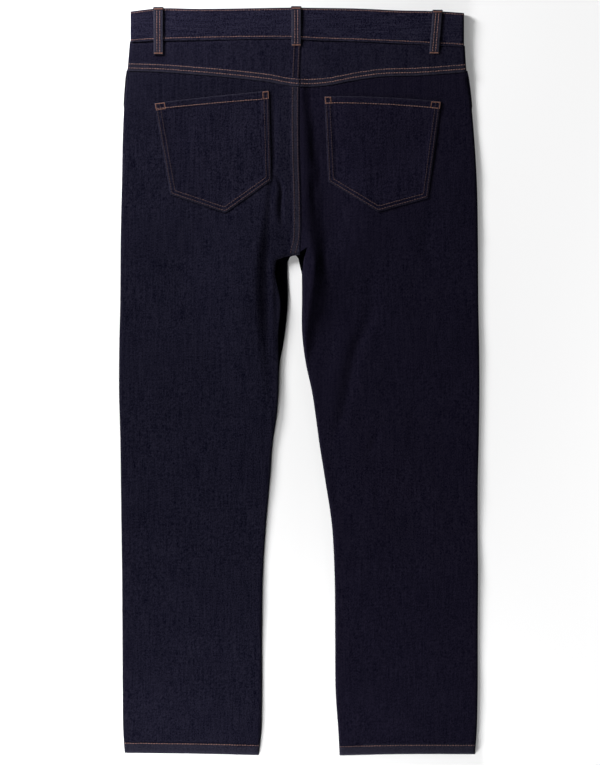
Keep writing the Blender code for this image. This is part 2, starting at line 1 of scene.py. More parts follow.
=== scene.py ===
"""The looks of straight leg jeans lying flat on their front, back side up.

Metres, +Z up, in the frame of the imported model: the waist at +Y, the hems at -Y, the wearer's left at -X.
Every panel is a thin shell on its solid's form, with its folds, seam ridges and stitches.
"""

from collections import namedtuple
from math import cos, pi, sin

import bpy
import numpy as np
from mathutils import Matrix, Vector
from mathutils.bvhtree import BVHTree


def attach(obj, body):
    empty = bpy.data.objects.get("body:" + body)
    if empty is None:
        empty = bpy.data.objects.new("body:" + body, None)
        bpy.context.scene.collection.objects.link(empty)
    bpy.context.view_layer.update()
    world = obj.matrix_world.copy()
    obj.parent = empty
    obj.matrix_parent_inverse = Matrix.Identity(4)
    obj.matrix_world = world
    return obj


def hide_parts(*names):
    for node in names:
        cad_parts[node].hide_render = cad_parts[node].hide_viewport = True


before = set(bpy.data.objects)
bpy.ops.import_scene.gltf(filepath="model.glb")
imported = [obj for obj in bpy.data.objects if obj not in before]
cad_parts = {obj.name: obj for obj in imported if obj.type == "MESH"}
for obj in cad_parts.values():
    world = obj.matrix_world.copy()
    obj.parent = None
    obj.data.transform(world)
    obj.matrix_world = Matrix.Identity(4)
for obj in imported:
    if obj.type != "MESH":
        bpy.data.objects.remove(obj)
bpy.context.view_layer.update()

# Cloth
DENIM = 0.0009  # one layer
SEAM_GAP = 0.0003
BACK_RISE = 0.0056  # outer face of the back above the outer face of the front
BAND_RISE = 0.0062  # the same at the waistband
LOWEST_BACK = 0.0029  # the least height of that face
BACK_SOFTNESS = 0.0003  # of the change to it
EDGE_RISE = 0.0016  # where the back's edge ends over the front's edge
EDGE_WIDTH = 0.0036  # width over which the back turns down to an outseam or inseam
EDGE_SHARES = np.array([0.0, 0.03, 0.1, 0.22, 0.4, 0.65, 1.0])  # where the points are in that width
FOLDED_EDGE = 0.0010  # width over which a folded edge turns down to what it is sewn on
FRONT_PLY = 0.0004  # the front's outer face inwards of its hem
CELL = 0.0026  # spacing of the points of the back
FINER_INSIDE = 0.5  # how much closer they are towards the middle
FRONT_CELL = 0.0040  # and of the front, which is underneath

# Waist
WAIST_LIFT = 0.0021
WAIST_LIFT_FROM = 0.360
WAIST_LIFT_TO = 0.440
CENTRE_FRONT = -0.0035
BUTTON_Y = 0.464
BUTTON_LIFT = 0.0009
BUTTON_LIFT_WIDTH = 0.022
BAND_LEFT = -0.2209
BAND_RIGHT = 0.2158
BAND_UNDERLAP = 0.020
BAND_OVERLAP = 0.011
BAND_TOP_ROW = 0.0023  # the row below the band's upper edge
BAND_END_ROW = (0.4495, 0.4850)  # the row up its lapping end

# Legs
BACK_TOP = 0.398
FRONT_TOP = 0.446
SEAT_FOOT = 0.166  # where the seat seam ends
SEAT_TURN = 0.1648  # and where the edge turns into the crotch
INSEAM_TOP = 0.140
LEG_WIDTH = 0.205
TOP_STRETCH = 0.05  # over which a leg's rows bend to its top edge
HEM_STRETCH = 0.03
LINE_STEP = 0.006  # between the points of a fold's line

# Front pockets and fly
OPENING_WIDTH = 0.092
OPENING_DROP = 0.072
OPENING_TOP = 0.447
OPENING_BEYOND = 0.012
FACING_BORDER = 0.016
FACING_INSET = 0.0050
FACING_SPARE = 0.002  # cut away again
ZIP_WIDTH = 0.024
ZIP_BOTTOM = 0.315
ZIP_TOP = 0.4180
FLY_WIDTH = 0.038
FLY_BOTTOM = 0.305
FLY_TOP = 0.444
FLY_TURN = 0.034
FLY_EDGE_ROW = 0.0022
BUTTONHOLE_LENGTH = 0.020
BUTTONHOLE_WIDTH = 0.0050

# Seams and stitches
FELL_HALF = 0.0045  # how far a flat-felled seam reaches from its middle
FELL_LAP = 0.0060  # and how far its lapping edge does
FELL_RISE = 0.0009
PLY_STEP = 0.0012  # width over which the cloth rises onto one more layer
TWIN_GAUGE = 0.0064  # between the two rows of a twin-needle seam
YOKE_ROWS = (0.0042, 0.0095)  # rows above the yoke's lower edge
YOKE_TURNING = 0.0118
OPENING_ROWS = (0.0024, 0.0077)
POCKET_ROWS = (0.0026, 0.0070)  # rows in from a pocket's edge
POCKET_TURNING = 0.0105
HEM_DEPTH = 0.0118  # from the hem's fold up to its row
HEM_DEPTH_LEFT = 0.0130
HEM_WEAR = {"left": (0.10, 0.15), "right": (0.26, 0.19)}  # at the hem's fold, and above it
STITCH_PITCH = 0.0034
STITCH_LENGTH = 0.0027
STITCH_WIDTH = 0.00108
SIDE_STITCH_WIDTH = 0.00130  # down a pocket's sides, where the thread is flattened and darkened as painted shade
SEAT_STITCH_WIDTH = 0.00165
TACK_WIDTH = 0.00072
TACK_PITCH = 0.00062
TACK_HEIGHT = 0.0019
PALE_ROW = 0.44  # how pale the thread is along the rows, from 0 to 1
# the seat's rows and a pocket's side rows run up and down and catch less light: their darker thread is
# painted shade
PALE_SEAT_PAINTED_SHADE = 0.03
PALE_SIDE_PAINTED_SHADE = 0.005
PALE_FOOT = 0.10
PALE_HEM = {"left": 0.42, "right": 0.28}
LOOP_WIDTH = 0.0125
LOOP_PLY = 0.0014

# Colours, linear
DENIM_DARK = (0.0013, 0.00115, 0.0044)
DENIM_LIGHT = (0.0112, 0.0103, 0.0186)
DENIM_WORN = (0.058, 0.056, 0.074)
DENIM_INSIDE_PAINTED_SHADE = (0.0006, 0.0006, 0.0012)  # painted shade: near-black, as the front's inner face is where the back shades it
THREAD_RUST = (0.0200, 0.0130, 0.0180)
THREAD_TAN = (0.158, 0.092, 0.084)
THREAD_ORANGE = (0.140, 0.068, 0.050)
ZIP_DARK = (0.004, 0.004, 0.009)
ZIP_LIGHT = (0.016, 0.015, 0.026)
BRASS = (0.60, 0.40, 0.22)
WHITE = (1.0, 1.0, 1.0)
# painted light and shade by side: a lighter tint for the left leg, a darker one for the right side
TONE_LEFT_PAINTED_LIGHT = (1.04, 1.06, 1.05)
TONE_RIGHT_PAINTED_SHADE = (0.97, 0.91, 0.98)

# The cloth of each kind of piece: how light it is, how much of the pattern's range is between its dark and
# its light colour on each side of the middle, and its tint
Cloth = namedtuple("Cloth", "tone reach tint")
CLOTHS = {
    # by side, the legs and pockets carry painted light and shade: the left's tint is lighter and its pattern
    # has more contrast, the right's tint is darker
    "leg_left": Cloth(1.0, 0.110, TONE_LEFT_PAINTED_LIGHT),
    "leg_right": Cloth(1.0, 0.150, TONE_RIGHT_PAINTED_SHADE),
    "pocket_left": Cloth(1.10, 0.092, WHITE),
    "pocket_right": Cloth(1.10, 0.116, TONE_RIGHT_PAINTED_SHADE),
    "yoke": Cloth(1.20, 0.135, WHITE),
    "band": Cloth(1.55, 0.076, WHITE),
    "loop": Cloth(1.5, 0.135, WHITE),
}
Pattern = namedtuple("Pattern", "across along through detail roughness weight")
PATTERNS = {
    "specks": Pattern(760.0, 560.0, 300.0, 1.0, 0.6, 0.50),
    "grain": Pattern(900.0, 700.0, 500.0, 1.0, 0.6, 0.18),
    "warp": Pattern(520.0, 30.0, 200.0, 2.0, 0.5, 0.22),
    "weft": Pattern(30.0, 430.0, 200.0, 2.0, 0.5, 0.06),
    "clouds": Pattern(24.0, 15.0, 15.0, 2.0, 0.5, 0.025),
}
Lamp = namedtuple("Lamp", "name place size power")
LAMPS = (
    Lamp("key", (-0.80, 0.95, 0.50), 0.4, 30.5),
    Lamp("low", (-0.35, -1.0, 0.45), 0.5, 15.0),
    Lamp("right", (1.0, -0.1, 0.35), 0.4, 1.5),
)
TWILL_TURN = 0.45
WORLD_STRENGTH = 0.08
LENS = 200.0
SENSOR = 36.0
VIEW_HEIGHT = 1.0022  # what the frame holds from top to bottom
VIEW_CENTRE = (0.0010, -0.0022)
FLOOR_Z = -0.0003
FLOOR_HALF = 3.0


def table(columns, *rows):
    """Rows of millimetres with named columns, in metres."""
    row = namedtuple("row", columns)
    return tuple(row(*(round(value * 0.001, 7) for value in values)) for values in rows)


def fold(*rows):
    """A fold's line, with its half width and its height (less than 0 is a trough) at each point."""
    return table("x y width height", *rows)


def bank(*rows):
    """A line where the cloth drops: the height on each side and its reach, and the drop's width."""
    return table("x y left left_reach right right_reach width", *rows)


OUTSEAM = table("y left right",
    (445, -221.7, 216.6), (410, -224.7, 218.7), (370, -228.6, 224.5), (320, -231.1, 229.1),
    (260, -232.2, 232.7), (190, -233.8, 234.1), (100, -234.5, 234.7), (40, -235.8, 235.8),
    (-15, -236, 236.1), (-75, -234.4, 235.3), (-135, -233.6, 234), (-200, -232.8, 234),
    (-250, -232.1, 234.4), (-330, -231.6, 233.9), (-410, -231.2, 233.7), (-465, -230.3, 232.2),
    (-490, -228.6, 230.2),
)
INSEAM = table("y left right",
    (140, -31.8, 3.4), (120, -27.5, 3.6), (105, -24.5, 3.6), (65, -27.2, 3.6), (25, -27.2, 8.2),
    (-15, -27.2, 16.8), (-50, -30, 22), (-80, -34.5, 26), (-130, -38.3, 34), (-190, -43.5, 42.8),
    (-250, -47.4, 46.1), (-330, -48.8, 47), (-410, -48.8, 47.8), (-465, -50.3, 51.5), (-490, -53, 52.7),
)
SEAT_SEAM = table("y x", (445, -3.5), (390, -5.5), (300, -5.5), (225, -3.5), (195, -3.7), (166, -5))
CROTCH = {
    "left": table("x y outer_y", (-18, 162.5, 160), (-30, 158, 154)),
    "right": table("x y outer_y", (-1, 160, 160), (1.2, 149, 152)),
}
# The front's left inner edge shows a little beyond the back's
FRONT_CROTCH_LEFT = table("x y outer_y", (-12, 162.5, 160), (-15.8, 156, 154))
FRONT_INSEAM_LEFT = table("y left right",
    (140, -15.8, 0), (92.7, -16, 0), (66.5, -18.7, 0), (47, -21.3, 0), (27, -25.2, 0),
    *((row.y * 1000, row.left * 1000, 0) for row in INSEAM if row.y < 0.014),
)
# Where the right back is folded away beside the foot of the seat seam
NOTCH = table("x y", (-4.3, 165), (10.3, 174.2), (6, 159), (4.2, 144), (-8, 144))
# Lines down the back where the cloth is higher on one side than on the other
BANKS = (
    # the left inner thigh
    bank(
        (-40, 285, 0, 30, 0, 10, 3), (-39.8, 255, 1, 40, -0.6, 12, 3.5),
        (-41.2, 230, 2.6, 60, 0.2, 30, 4.2), (-44.5, 200, 5.4, 80, 1.8, 40, 6),
        (-48, 170, 10, 95, 3.4, 40, 8), (-50, 140, 12.6, 100, 4.6, 40, 9),
        (-49.8, 110, 12.6, 100, 4.6, 40, 9), (-49, 80, 10.6, 90, 4, 40, 8.5),
        (-47, 45, 7.2, 80, 3.4, 40, 7.5), (-44, 15, 4.6, 75, 2.8, 40, 6.5),
        (-44, -20, 3, 70, 2.4, 40, 6), (-48, -60, 2, 65, 1.8, 40, 6), (-52, -110, 0.8, 60, 0.8, 40, 6),
        (-55, -150, 0, 50, 0, 30, 6),
    ),
    # beside the seat seam and down the right inner thigh
    bank(
        (4, 400, 0, 12, 0, 30, 4.5), (8, 380, 0.8, 12, -2.2, 40, 6), (11, 345, 1.2, 16, -3.8, 50, 8.2),
        (15.8, 315, 1.4, 22, -5.4, 60, 10.8), (18.8, 280, 1.4, 24, -5.8, 60, 12.4),
        (20, 245, 1.4, 22, -6.2, 60, 13.4), (20.6, 215, 2, 24, -6, 60, 12.8),
        (24, 185, 4.8, 30, -4, 56, 11.2), (26.2, 160, 10.4, 36, -0.2, 50, 8.4),
        (26.2, 140, 13.4, 38, 1.6, 46, 7.8), (23.8, 117.6, 13.4, 36, 1.6, 46, 7.6),
        (20, 95.4, 11.6, 32, 1.4, 44, 7), (16.4, 79.7, 9.4, 30, 1.8, 34, 5.8),
        (13.8, 60, 6.4, 26, 0.6, 32, 5), (11.2, 35, 2.4, 20, -0.4, 30, 4.2),
        (12, 10, 0, 20, 0, 20, 3.6),
    ),
)
# The band's lower and upper edges, and how far its lower row of stitches is above the lower edge
WAISTBAND = table("x bottom top row",
    (-220.9, 442.8, 483.1, 3), (-185, 444.6, 487.2, 3.2), (-135, 445.2, 486.6, 4),
    (-50, 447, 487.6, 3.6), (-10, 447.2, 488.2, 3.2), (27.5, 445.2, 487.8, 3.4), (70, 444, 487.2, 3.3),
    (132, 441.2, 484.6, 3.4), (180, 438.9, 483.6, 3.4), (215.8, 437, 481.2, 3.2),
)
YOKE_SEAM = table("x y",
    (-226, 405.2), (-184, 404), (-136.6, 400.7), (-89.4, 396.6), (-41.5, 391.2), (-3.5, 385),
    (37.7, 386.5), (71.7, 392.9), (104.5, 397.6), (155, 399.4), (220, 404.1),
)
HEMS = {
    "left": table("x y", (-229, -487.2), (-130, -488.4), (-53, -490.2)),
    "right": table("x y", (52.7, -490.6), (132, -488.9), (231, -488.9)),
}
# A pocket's corners: outer top, centre top, centre foot, tip, outer foot on the left one
BACK_POCKETS = {
    "left": table("x y", (-189.8, 363.3), (-39.2, 379.8), (-36.1, 262.6), (-96.6, 219.5), (-168.8, 243.7)),
    "right": table("x y", (32.6, 372.3), (186, 365.5), (168.8, 239.1), (102.9, 221), (37.9, 260.5)),
}
POCKET_TOP_BOW = {"left": 0.0006, "right": 0.0022}
# How far the row along a pocket's mouth is below its edge, at the mouth's two ends
POCKET_HEM_ROWS = {"left": (0.0076, 0.0104), "right": (0.0088, 0.0092)}
# The bartacked boxes at a pocket's two top corners: width and height
POCKET_TACKS = {"left": ((0.0118, 0.0082), (0.0070, 0.0090)), "right": ((0.0072, 0.0082), (0.0112, 0.0082))}
Loop = namedtuple("Loop", "name x_top x_end y_end side")
BELT_LOOPS = (
    Loop("belt_loop_back_left", -0.1842, -0.1842, 0.4265, "back"),
    Loop("belt_loop_back_centre", -0.0039, -0.0039, 0.4373, "back"),
    Loop("belt_loop_back_right", 0.1809, 0.1762, 0.4271, "back"),
    Loop("belt_loop_front_left", -0.1150, -0.1150, 0.4310, "front"),
    Loop("belt_loop_front_right", 0.1080, 0.1080, 0.4310, "front"),
)

# Folds of the back
FOLDS = (
    # the fullness of the seat
    fold((15, 315, 85, 3.4), (15, 240, 85, 3.4)),
    # the narrow strip between the left pocket and the seat seam
    fold((-33.5, 387, 2.6, 0), (-33, 350, 2.8, -1.4), (-32.5, 300, 2.8, -1.4), (-33, 270, 2.8, 0)),
    # the light ridge along the left inner edge
    fold(
        (-34.5, 170, 3.5, 0), (-35.2, 150, 3.5, 1), (-34.5, 110, 3.5, 1.2), (-34, 60, 3.5, 0.8),
        (-33, 20, 3.5, 0),
    ),
    # a short sharp wrinkle beside the seat seam, and the ridge before it
    fold(
        (-33, 274, 2.2, 0), (-27, 263, 2.4, -1.8), (-23.8, 256, 2.6, -3), (-22.8, 245, 2.8, -3.4),
        (-24.3, 232, 2.8, -3.2), (-23.8, 216, 2.8, -2.2), (-20, 196, 3, 0),
    ),
    fold((-33, 264, 5, 0), (-30.5, 248, 5, 1.2), (-32, 228, 5, 1.4), (-31.5, 200, 6, 0)),
    # the valley's darkest core
    fold((16, 340, 3.4, 0), (17.8, 320, 3.8, -1.4), (18.6, 295, 4, -1.6), (21.5, 278, 3.4, 0)),
    fold((17, 272, 3.8, 0), (18.8, 252, 4.4, -1.6), (19.6, 230, 4.4, -1.2), (20, 205, 4, 0)),
    # a pucker on the far side of the valley
    fold((20, 305, 3, 0), (26.5, 288, 3, -1), (28, 270, 3, -0.8), (21.5, 245, 3.5, 0)),
    # the slanting trough down the right thigh, and the ridge before it
    fold(
        (99, 185, 14, 0), (96, 135, 11, -1.2), (93, 85, 8.5, -1.6), (76, 45, 7.5, -2.4),
        (66, 0, 7.5, -2), (56, -48, 7.5, -1.8), (40, -90, 7, 0),
    ),
    fold((70, 100, 12, 0), (60, 55, 11, 1.2), (50, 10, 11, 1.4), (42, -35, 10, 0.8), (38, -70, 10, 0)),
    # short ones under it
    fold((106, -55, 4.5, 0), (99, -80, 4.5, -1.1), (86, -105, 5, 0)),
    fold((100, -125, 4.5, 0), (103, -155, 4.5, -1), (99, -185, 5, 0)),
    # soft hollows beside the right pocket and on the thighs
    fold((169, 240, 12, 0), (170, 190, 12, -1.3), (176, 120, 14, 0)),
    fold((-150, 180, 30, 0), (-145, 135, 30, -1), (-135, 90, 30, 0)),
    # the knees and shins: broad, shallow
    fold((-190, -30, 26, 0), (-140, -50, 24, -1.3), (-75, -45, 24, -1), (-50, -35, 24, 0)),
    fold((-180, -125, 24, 0), (-120, -140, 24, -1), (-65, -115, 24, 0)),
    fold((-165, -365, 20, 0), (-115, -372, 20, -1.2), (-70, -365, 20, 0)),
    fold((60, -360, 20, 0), (105, -370, 20, -1.3), (160, -365, 20, 0)),
    fold((155, -60, 28, 0), (150, -150, 28, -1.2), (130, -260, 28, -1), (120, -330, 26, 0)),
)
# The rise of both layers along the left inner thigh, past which the front slopes to the surface
LIP = (
    fold(
        (-6, 167.5, 7, 0), (-19, 165, 8, 4.4), (-32, 159, 8.5, 7), (-33, 140, 8.5, 7.6),
        (-29, 120, 8.5, 7.6), (-26.5, 105, 8.5, 7.4), (-28.5, 65, 8, 6), (-29, 30, 7.5, 4.4),
        (-29, -10, 7, 3.4), (-35, -60, 7, 2), (-40, -110, 7, 0.8), (-44, -160, 7, 0),
    ),
)
SIDES = {"left": -1, "right": 1}


# ---- form ----


def smooth(rows, column, at):
    """A table's column where its first column equals at, on a smooth curve through the rows."""
    keys = np.array([row[0] for row in rows])
    values = np.array([getattr(row, column) for row in rows])
    order = np.argsort(keys)
    keys, values = keys[order], values[order]
    slopes = np.gradient(values, keys)
    at = np.clip(at, keys[0], keys[-1])
    i = np.clip(np.searchsorted(keys, at) - 1, 0, len(keys) - 2)
    span = keys[i + 1] - keys[i]
    t = (at - keys[i]) / span
    near = (1 + 2 * t) * (1 - t) ** 2 * values[i] + t * (1 - t) ** 2 * span * slopes[i]
    far = t**2 * (3 - 2 * t) * values[i + 1] - t**2 * (1 - t) * span * slopes[i + 1]
    return near + far


def joined(*parts):
    return np.stack(parts, axis=-1)


def ease(t):
    t = np.clip(t, 0.0, 1.0)
    return t * t * (3 - 2 * t)


def bell(distance, width):
    return np.exp(-((distance / width) ** 2))


def quarter_round(t):
    """0 to 1 as t goes from 0 to 1, upright at 0 and level at 1."""
    t = 1 - np.clip(t, 0.0, 1.0)
    return np.sqrt(1 - t * t)


def turned_down(base, height, distance):
    """A height that comes down to base where the distance from an outer edge is 0."""
    return base + (height - base) * quarter_round(distance / EDGE_WIDTH)


def waist_lift(x, y):
    waist = WAIST_LIFT * ease((y - WAIST_LIFT_FROM) / (WAIST_LIFT_TO - WAIST_LIFT_FROM))
    return waist + BUTTON_LIFT * bell(np.hypot(x - CENTRE_FRONT, y - BUTTON_Y), BUTTON_LIFT_WIDTH)


def lengths_along(points):
    return np.concatenate([[0.0], np.cumsum(np.linalg.norm(np.diff(points, axis=0), axis=1))])


def resampled(points, step):
    """A polyline's points, evenly spaced along it."""
    points = np.asarray(points, float)
    lengths = lengths_along(points)
    count = max(2, int(round(lengths[-1] / step)) + 1)
    at = np.linspace(0.0, lengths[-1], count)
    return joined(*(np.interp(at, lengths, column) for column in points.T))


def curve_through(points, step):
    """Points evenly spaced along a smooth curve through a few."""
    row = namedtuple("row", "key value")
    fine = np.linspace(0, len(points) - 1, 24 * len(points))
    columns = []
    for column in np.asarray(points, float).T:
        columns.append(smooth([row(*pair) for pair in enumerate(column)], "value", fine))
    return resampled(joined(*columns), step)


def nearest_on(line, x, y):
    """Distance from each point to a polyline, and the number of its segment with the share along it."""
    best = np.full(x.shape, 1e9)
    place = np.zeros(x.shape)
    for i in range(len(line) - 1):
        (ax, ay), (bx, by) = line[i][:2], line[i + 1][:2]
        dx, dy = bx - ax, by - ay
        t = np.clip(((x - ax) * dx + (y - ay) * dy) / (dx * dx + dy * dy + 1e-18), 0.0, 1.0)
        distance = np.hypot(x - ax - t * dx, y - ay - t * dy)
        closer = distance < best
        best = np.where(closer, distance, best)
        place = np.where(closer, i + t, place)
    return best, place


def around(line, x, y, left, right, ends):
    """Which points are near a line, their distance from it, and its other columns where they are nearest."""
    inside = (x > line[:, 0].min() - left) & (x < line[:, 0].max() + right)
    inside &= (y > line[:, 1].min() - ends) & (y < line[:, 1].max() + ends)
    distance, place = nearest_on(line, x[inside], y[inside])
    return inside, distance, [np.interp(place, np.arange(len(line)), column) for column in line.T[2:]]


def folds(x, y, lines):
    """The sum of some folds' heights."""
    total = np.zeros(x.shape)
    for points in lines:
        line = curve_through(points, LINE_STEP)
        reach = 3.0 * line[:, 2].max()
        inside, distance, (width, height) = around(line, x, y, reach, reach, reach)
        total[inside] += height * bell(distance, width)
    return total


def banks(x, y):
    """The heights on both sides of the lines where the cloth drops."""
    total = np.zeros(x.shape)
    for points in BANKS:
        line = curve_through(points, LINE_STEP)
        inside, distance, columns = around(line, x, y, line[:, 3].max(), line[:, 5].max(), 0.0)
        left, left_reach, right, right_reach, width = columns
        across = distance * np.sign(x[inside] - np.interp(y[inside], line[::-1, 1], line[::-1, 0]))
        left_side = left * (1 - ease((-across - width) / left_reach))
        right_side = right * (1 - ease((across - width) / right_reach))
        share = ease((across + width) / (2 * width))
        total[inside] += left_side * (1 - share) + right_side * share
    return total


def waves(x, y, seed, count, shortest, longest, height):
    """Uneven low waves in all directions, the same each time."""
    random = np.random.default_rng(seed)
    total = np.zeros(x.shape)
    for _ in range(count):
        length = random.uniform(shortest, longest)
        angle = random.uniform(0.0, pi)
        phase = random.uniform(0.0, 2 * pi)
        along = (x * cos(angle) + y * sin(angle)) * 2 * pi / length
        total += np.sin(along + phase) * height * length / longest
    return total


def back_face(x, y):
    """Height of the outer face of the back, away from its edges and seams; it never sinks into the front."""
    free = banks(x, y) + BACK_RISE + folds(x, y, FOLDS)
    free += waves(x, y, 11, 9, 0.060, 0.180, 0.00032) + waves(x, y, 12, 12, 0.014, 0.040, 0.00006)
    lowest = LOWEST_BACK + folds(x, y, LIP)
    above = (free - lowest) / BACK_SOFTNESS
    return waist_lift(x, y) + lowest + BACK_SOFTNESS * np.logaddexp(0.0, above)


def front_face(x, y):
    """Height of the outer face of the front, which looks down."""
    return waist_lift(x, y) + 0.0002 + folds(x, y, LIP)


# ---- plans ----


def seat_line(side, y):
    """The edge of the back beside the seat seam: the left back laps over the right one."""
    return smooth(SEAT_SEAM, "x", y) + FELL_LAP


def middle_line(side, y):
    return smooth(SEAT_SEAM, "x", y) + SIDES[side] * SEAM_GAP / 2


def inner_edge(side, top_y, cell, seam_x, crotch, inseam):
    """Points down the middle seam and the inseam: x, y and the outseam's y; and how many are seam."""
    seam_y = np.arange(top_y, SEAT_FOOT, -cell)
    foot = (seam_x(side, SEAT_FOOT), SEAT_TURN, SEAT_FOOT)
    top = (smooth(inseam, side, INSEAM_TOP), INSEAM_TOP, INSEAM_TOP)
    corner = resampled([foot, *crotch, top], cell * 0.75)
    bottom = HEMS[side][-1 if side == "left" else 0].y
    leg_y = np.linspace(INSEAM_TOP, bottom, int((INSEAM_TOP - bottom) / cell))[1:]
    seam = joined(seam_x(side, seam_y), seam_y, seam_y)
    return np.concatenate([seam, corner, joined(smooth(inseam, side, leg_y), leg_y, leg_y)]), len(seam)


def leg_plan(side, top_y, top_curve, cell, seam_x, crotch, inseam=INSEAM):
    """A leg panel's plan points, from the outseam to the middle; its outseam and its inseam."""
    inner, seam_rows = inner_edge(side, top_y, cell, seam_x, crotch, inseam)
    outer = joined(smooth(OUTSEAM, side, inner[:, 2]), inner[:, 2])
    across = outer - inner[:, :2]
    across /= np.linalg.norm(across, axis=1, keepdims=True)
    outer_part = [outer - across * offset for offset in EDGE_WIDTH * EDGE_SHARES]
    inner_part = [inner[:, :2] + across * offset for offset in EDGE_WIDTH * EDGE_SHARES[::-1]]
    shares = np.linspace(0.0, 1.0, int(LEG_WIDTH / cell))[1:-1]
    shares = (1 - FINER_INSIDE) * shares + FINER_INSIDE * (1 - (1 - shares) ** 2)
    middle = [outer_part[-1] * (1 - share) + inner_part[0] * share for share in shares]
    plan = np.stack(outer_part + middle + inner_part, axis=1)

    def hem_curve(x):
        return smooth(HEMS[side], "y", x)

    # both ends bend to their curves over a short stretch
    for end, way, curve, stretch in ((0, 1, top_curve, TOP_STRETCH), (-1, -1, hem_curve, HEM_STRETCH)):
        bend = curve(plan[end, :, 0]) - plan[end, :, 1]
        for row in range(int(stretch / cell)):
            plan[end + way * row, :, 1] += bend * (1 - ease(row * cell / stretch))
    return plan, outer, inner[seam_rows:, :2]


# ---- meshes ----


def add_object(name, data):
    made = bpy.data.objects.new(name, data)
    bpy.context.scene.collection.objects.link(made)
    return made


def mesh_object(name, points, faces, materials=(), attribute=None, values=None):
    """An object of points and faces; with an attribute, it is smooth and has a value at each point."""
    mesh = bpy.data.meshes.new(name)
    mesh.from_pydata(points, [], faces)
    if attribute:
        mesh.shade_smooth()
        layer = mesh.attributes.new(attribute, "FLOAT", "POINT")
        layer.data.foreach_set("value", np.ascontiguousarray(values, np.float32))
    for material in materials:
        mesh.materials.append(material)
    return add_object(name, mesh)


def panel(name, node, x, y, height, up, cloths, wear, thickness=DENIM, cutting=()):
    """A shell that has a grid of points as its outer face and stands for a CAD node."""
    numbers = np.arange(x.size).reshape(x.shape)
    a, b = numbers[:-1, :-1].ravel(), numbers[:-1, 1:].ravel()
    c, d = numbers[1:, 1:].ravel(), numbers[1:, :-1].ravel()
    flat = joined(x, y, height).reshape(-1, 3)
    ab, ad = flat[b] - flat[a], flat[d] - flat[a]
    looks_up = (ab[:, 0] * ad[:, 1] - ab[:, 1] * ad[:, 0]).sum() > 0
    faces = joined(a, b, c, d) if looks_up == up else joined(a, d, c, b)
    made = mesh_object(name, flat.tolist(), faces.tolist(), cloths, "wear", wear.reshape(-1))
    wall = made.modifiers.new("wall", "SOLIDIFY")
    wall.thickness = thickness
    wall.offset = -1.0
    wall.material_offset = len(cloths) - 1
    if cutting:
        cut(made, *cutting)
    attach(made, "root")
    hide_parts(node)
    return made


def cut(made, outline, operation):
    """Keeps what is inside a plan outline, or takes it away."""
    outline = [(float(x), float(y)) for x, y in outline]
    if sum(a[0] * b[1] - b[0] * a[1] for a, b in zip(outline, outline[1:] + outline[:1])) < 0:
        outline.reverse()
    count = len(outline)
    points = [(x, y, z) for z in (-0.02, 0.05) for x, y in outline]
    faces = [tuple(range(count))[::-1], tuple(range(count, 2 * count))]
    faces += [(i - 1, i, i + count, i - 1 + count) for i in range(1, count)]
    faces.append((count - 1, 0, count, 2 * count - 1))
    boolean = made.modifiers.new("cut", "BOOLEAN")
    boolean.object = mesh_object("cutter", points, faces)
    boolean.operation = operation
    boolean.solver = "EXACT"
    result = bpy.data.meshes.new_from_object(made.evaluated_get(bpy.context.evaluated_depsgraph_get()))
    bpy.data.objects.remove(boolean.object)
    made.modifiers.clear()
    made.data = result


# ---- materials ----


class Nodes:
    """A material's node tree, built a node at a time."""

    def __init__(self, name):
        self.material = bpy.data.materials.new(name)
        self.material.use_nodes = True
        self.tree = self.material.node_tree

    def add(self, kind, inputs=None, **settings):
        made = self.tree.nodes.new("ShaderNode" + kind)
        for key, value in settings.items():
            setattr(made, key, value)
        for key, value in (inputs or {}).items():
            self.put(made.inputs[key], value)
        return made

    def put(self, socket, value):
        if isinstance(value, bpy.types.NodeSocket):
            self.tree.links.new(value, socket)
        elif socket.type == "RGBA" and len(value) == 3:
            socket.default_value = (*value, 1.0)
        else:
            socket.default_value = value

    def spot(self):
        return self.add("TexCoord").outputs["Object"]

    def attribute(self, name):
        return self.add("Attribute", attribute_name=name, attribute_type="GEOMETRY").outputs["Fac"]

    def math(self, operation, *values):
        return self.add("Math", dict(enumerate(values)), operation=operation).outputs[0]

    def mapped(self, vector, turn=0.0, scale=(1.0, 1.0, 1.0)):
        inputs = {"Vector": vector, "Scale": scale, "Rotation": (0.0, 0.0, turn)}
        return self.add("Mapping", inputs).outputs["Vector"]

    def noise(self, vector, scale, detail, roughness=0.5):
        mapped = self.mapped(vector, scale=scale)
        inputs = {"Vector": mapped, "Scale": 1.0, "Detail": detail, "Roughness": roughness}
        return self.add("TexNoise", inputs).outputs["Fac"]

    def ribs(self, vector, scale, distortion, detail):
        inputs = {"Vector": vector, "Scale": scale, "Distortion": distortion, "Detail": detail}
        return self.add("TexWave", inputs, wave_type="BANDS", bands_direction="X").outputs["Fac"]

    def sum_of(self, *parts):
        """The weighted sum of some values."""
        total = 0.0
        for value, weight in parts:
            total = self.math("MULTIPLY_ADD", value, weight, total)
        return total

    def ramp(self, level, first, last, middle=None):
        made = self.add("ValToRGB", {"Fac": level})
        elements = made.color_ramp.elements
        elements[0].color, elements[1].color = (*first, 1.0), (*last, 1.0)
        if middle:
            elements.new(0.5).color = (*middle, 1.0)
        return made.outputs["Color"]

    def mix(self, share, first, second):
        inputs = {"Factor": share, "A": first, "B": second}
        return self.add("Mix", inputs, data_type="RGBA").outputs["Result"]

    def finish(self, base, roughness, bump=None, **others):
        """The material; a bump is its height, strength and distance."""
        inputs = self.tree.nodes["Principled BSDF"].inputs
        self.put(inputs["Base Color"], base)
        inputs["Roughness"].default_value = roughness
        if bump:
            made = self.add("Bump", dict(zip(("Height", "Strength", "Distance"), bump)))
            self.put(inputs["Normal"], made.outputs["Normal"])
        for name, value in others.items():
            self.put(inputs[name.replace("_", " ")], value)
        return self.material


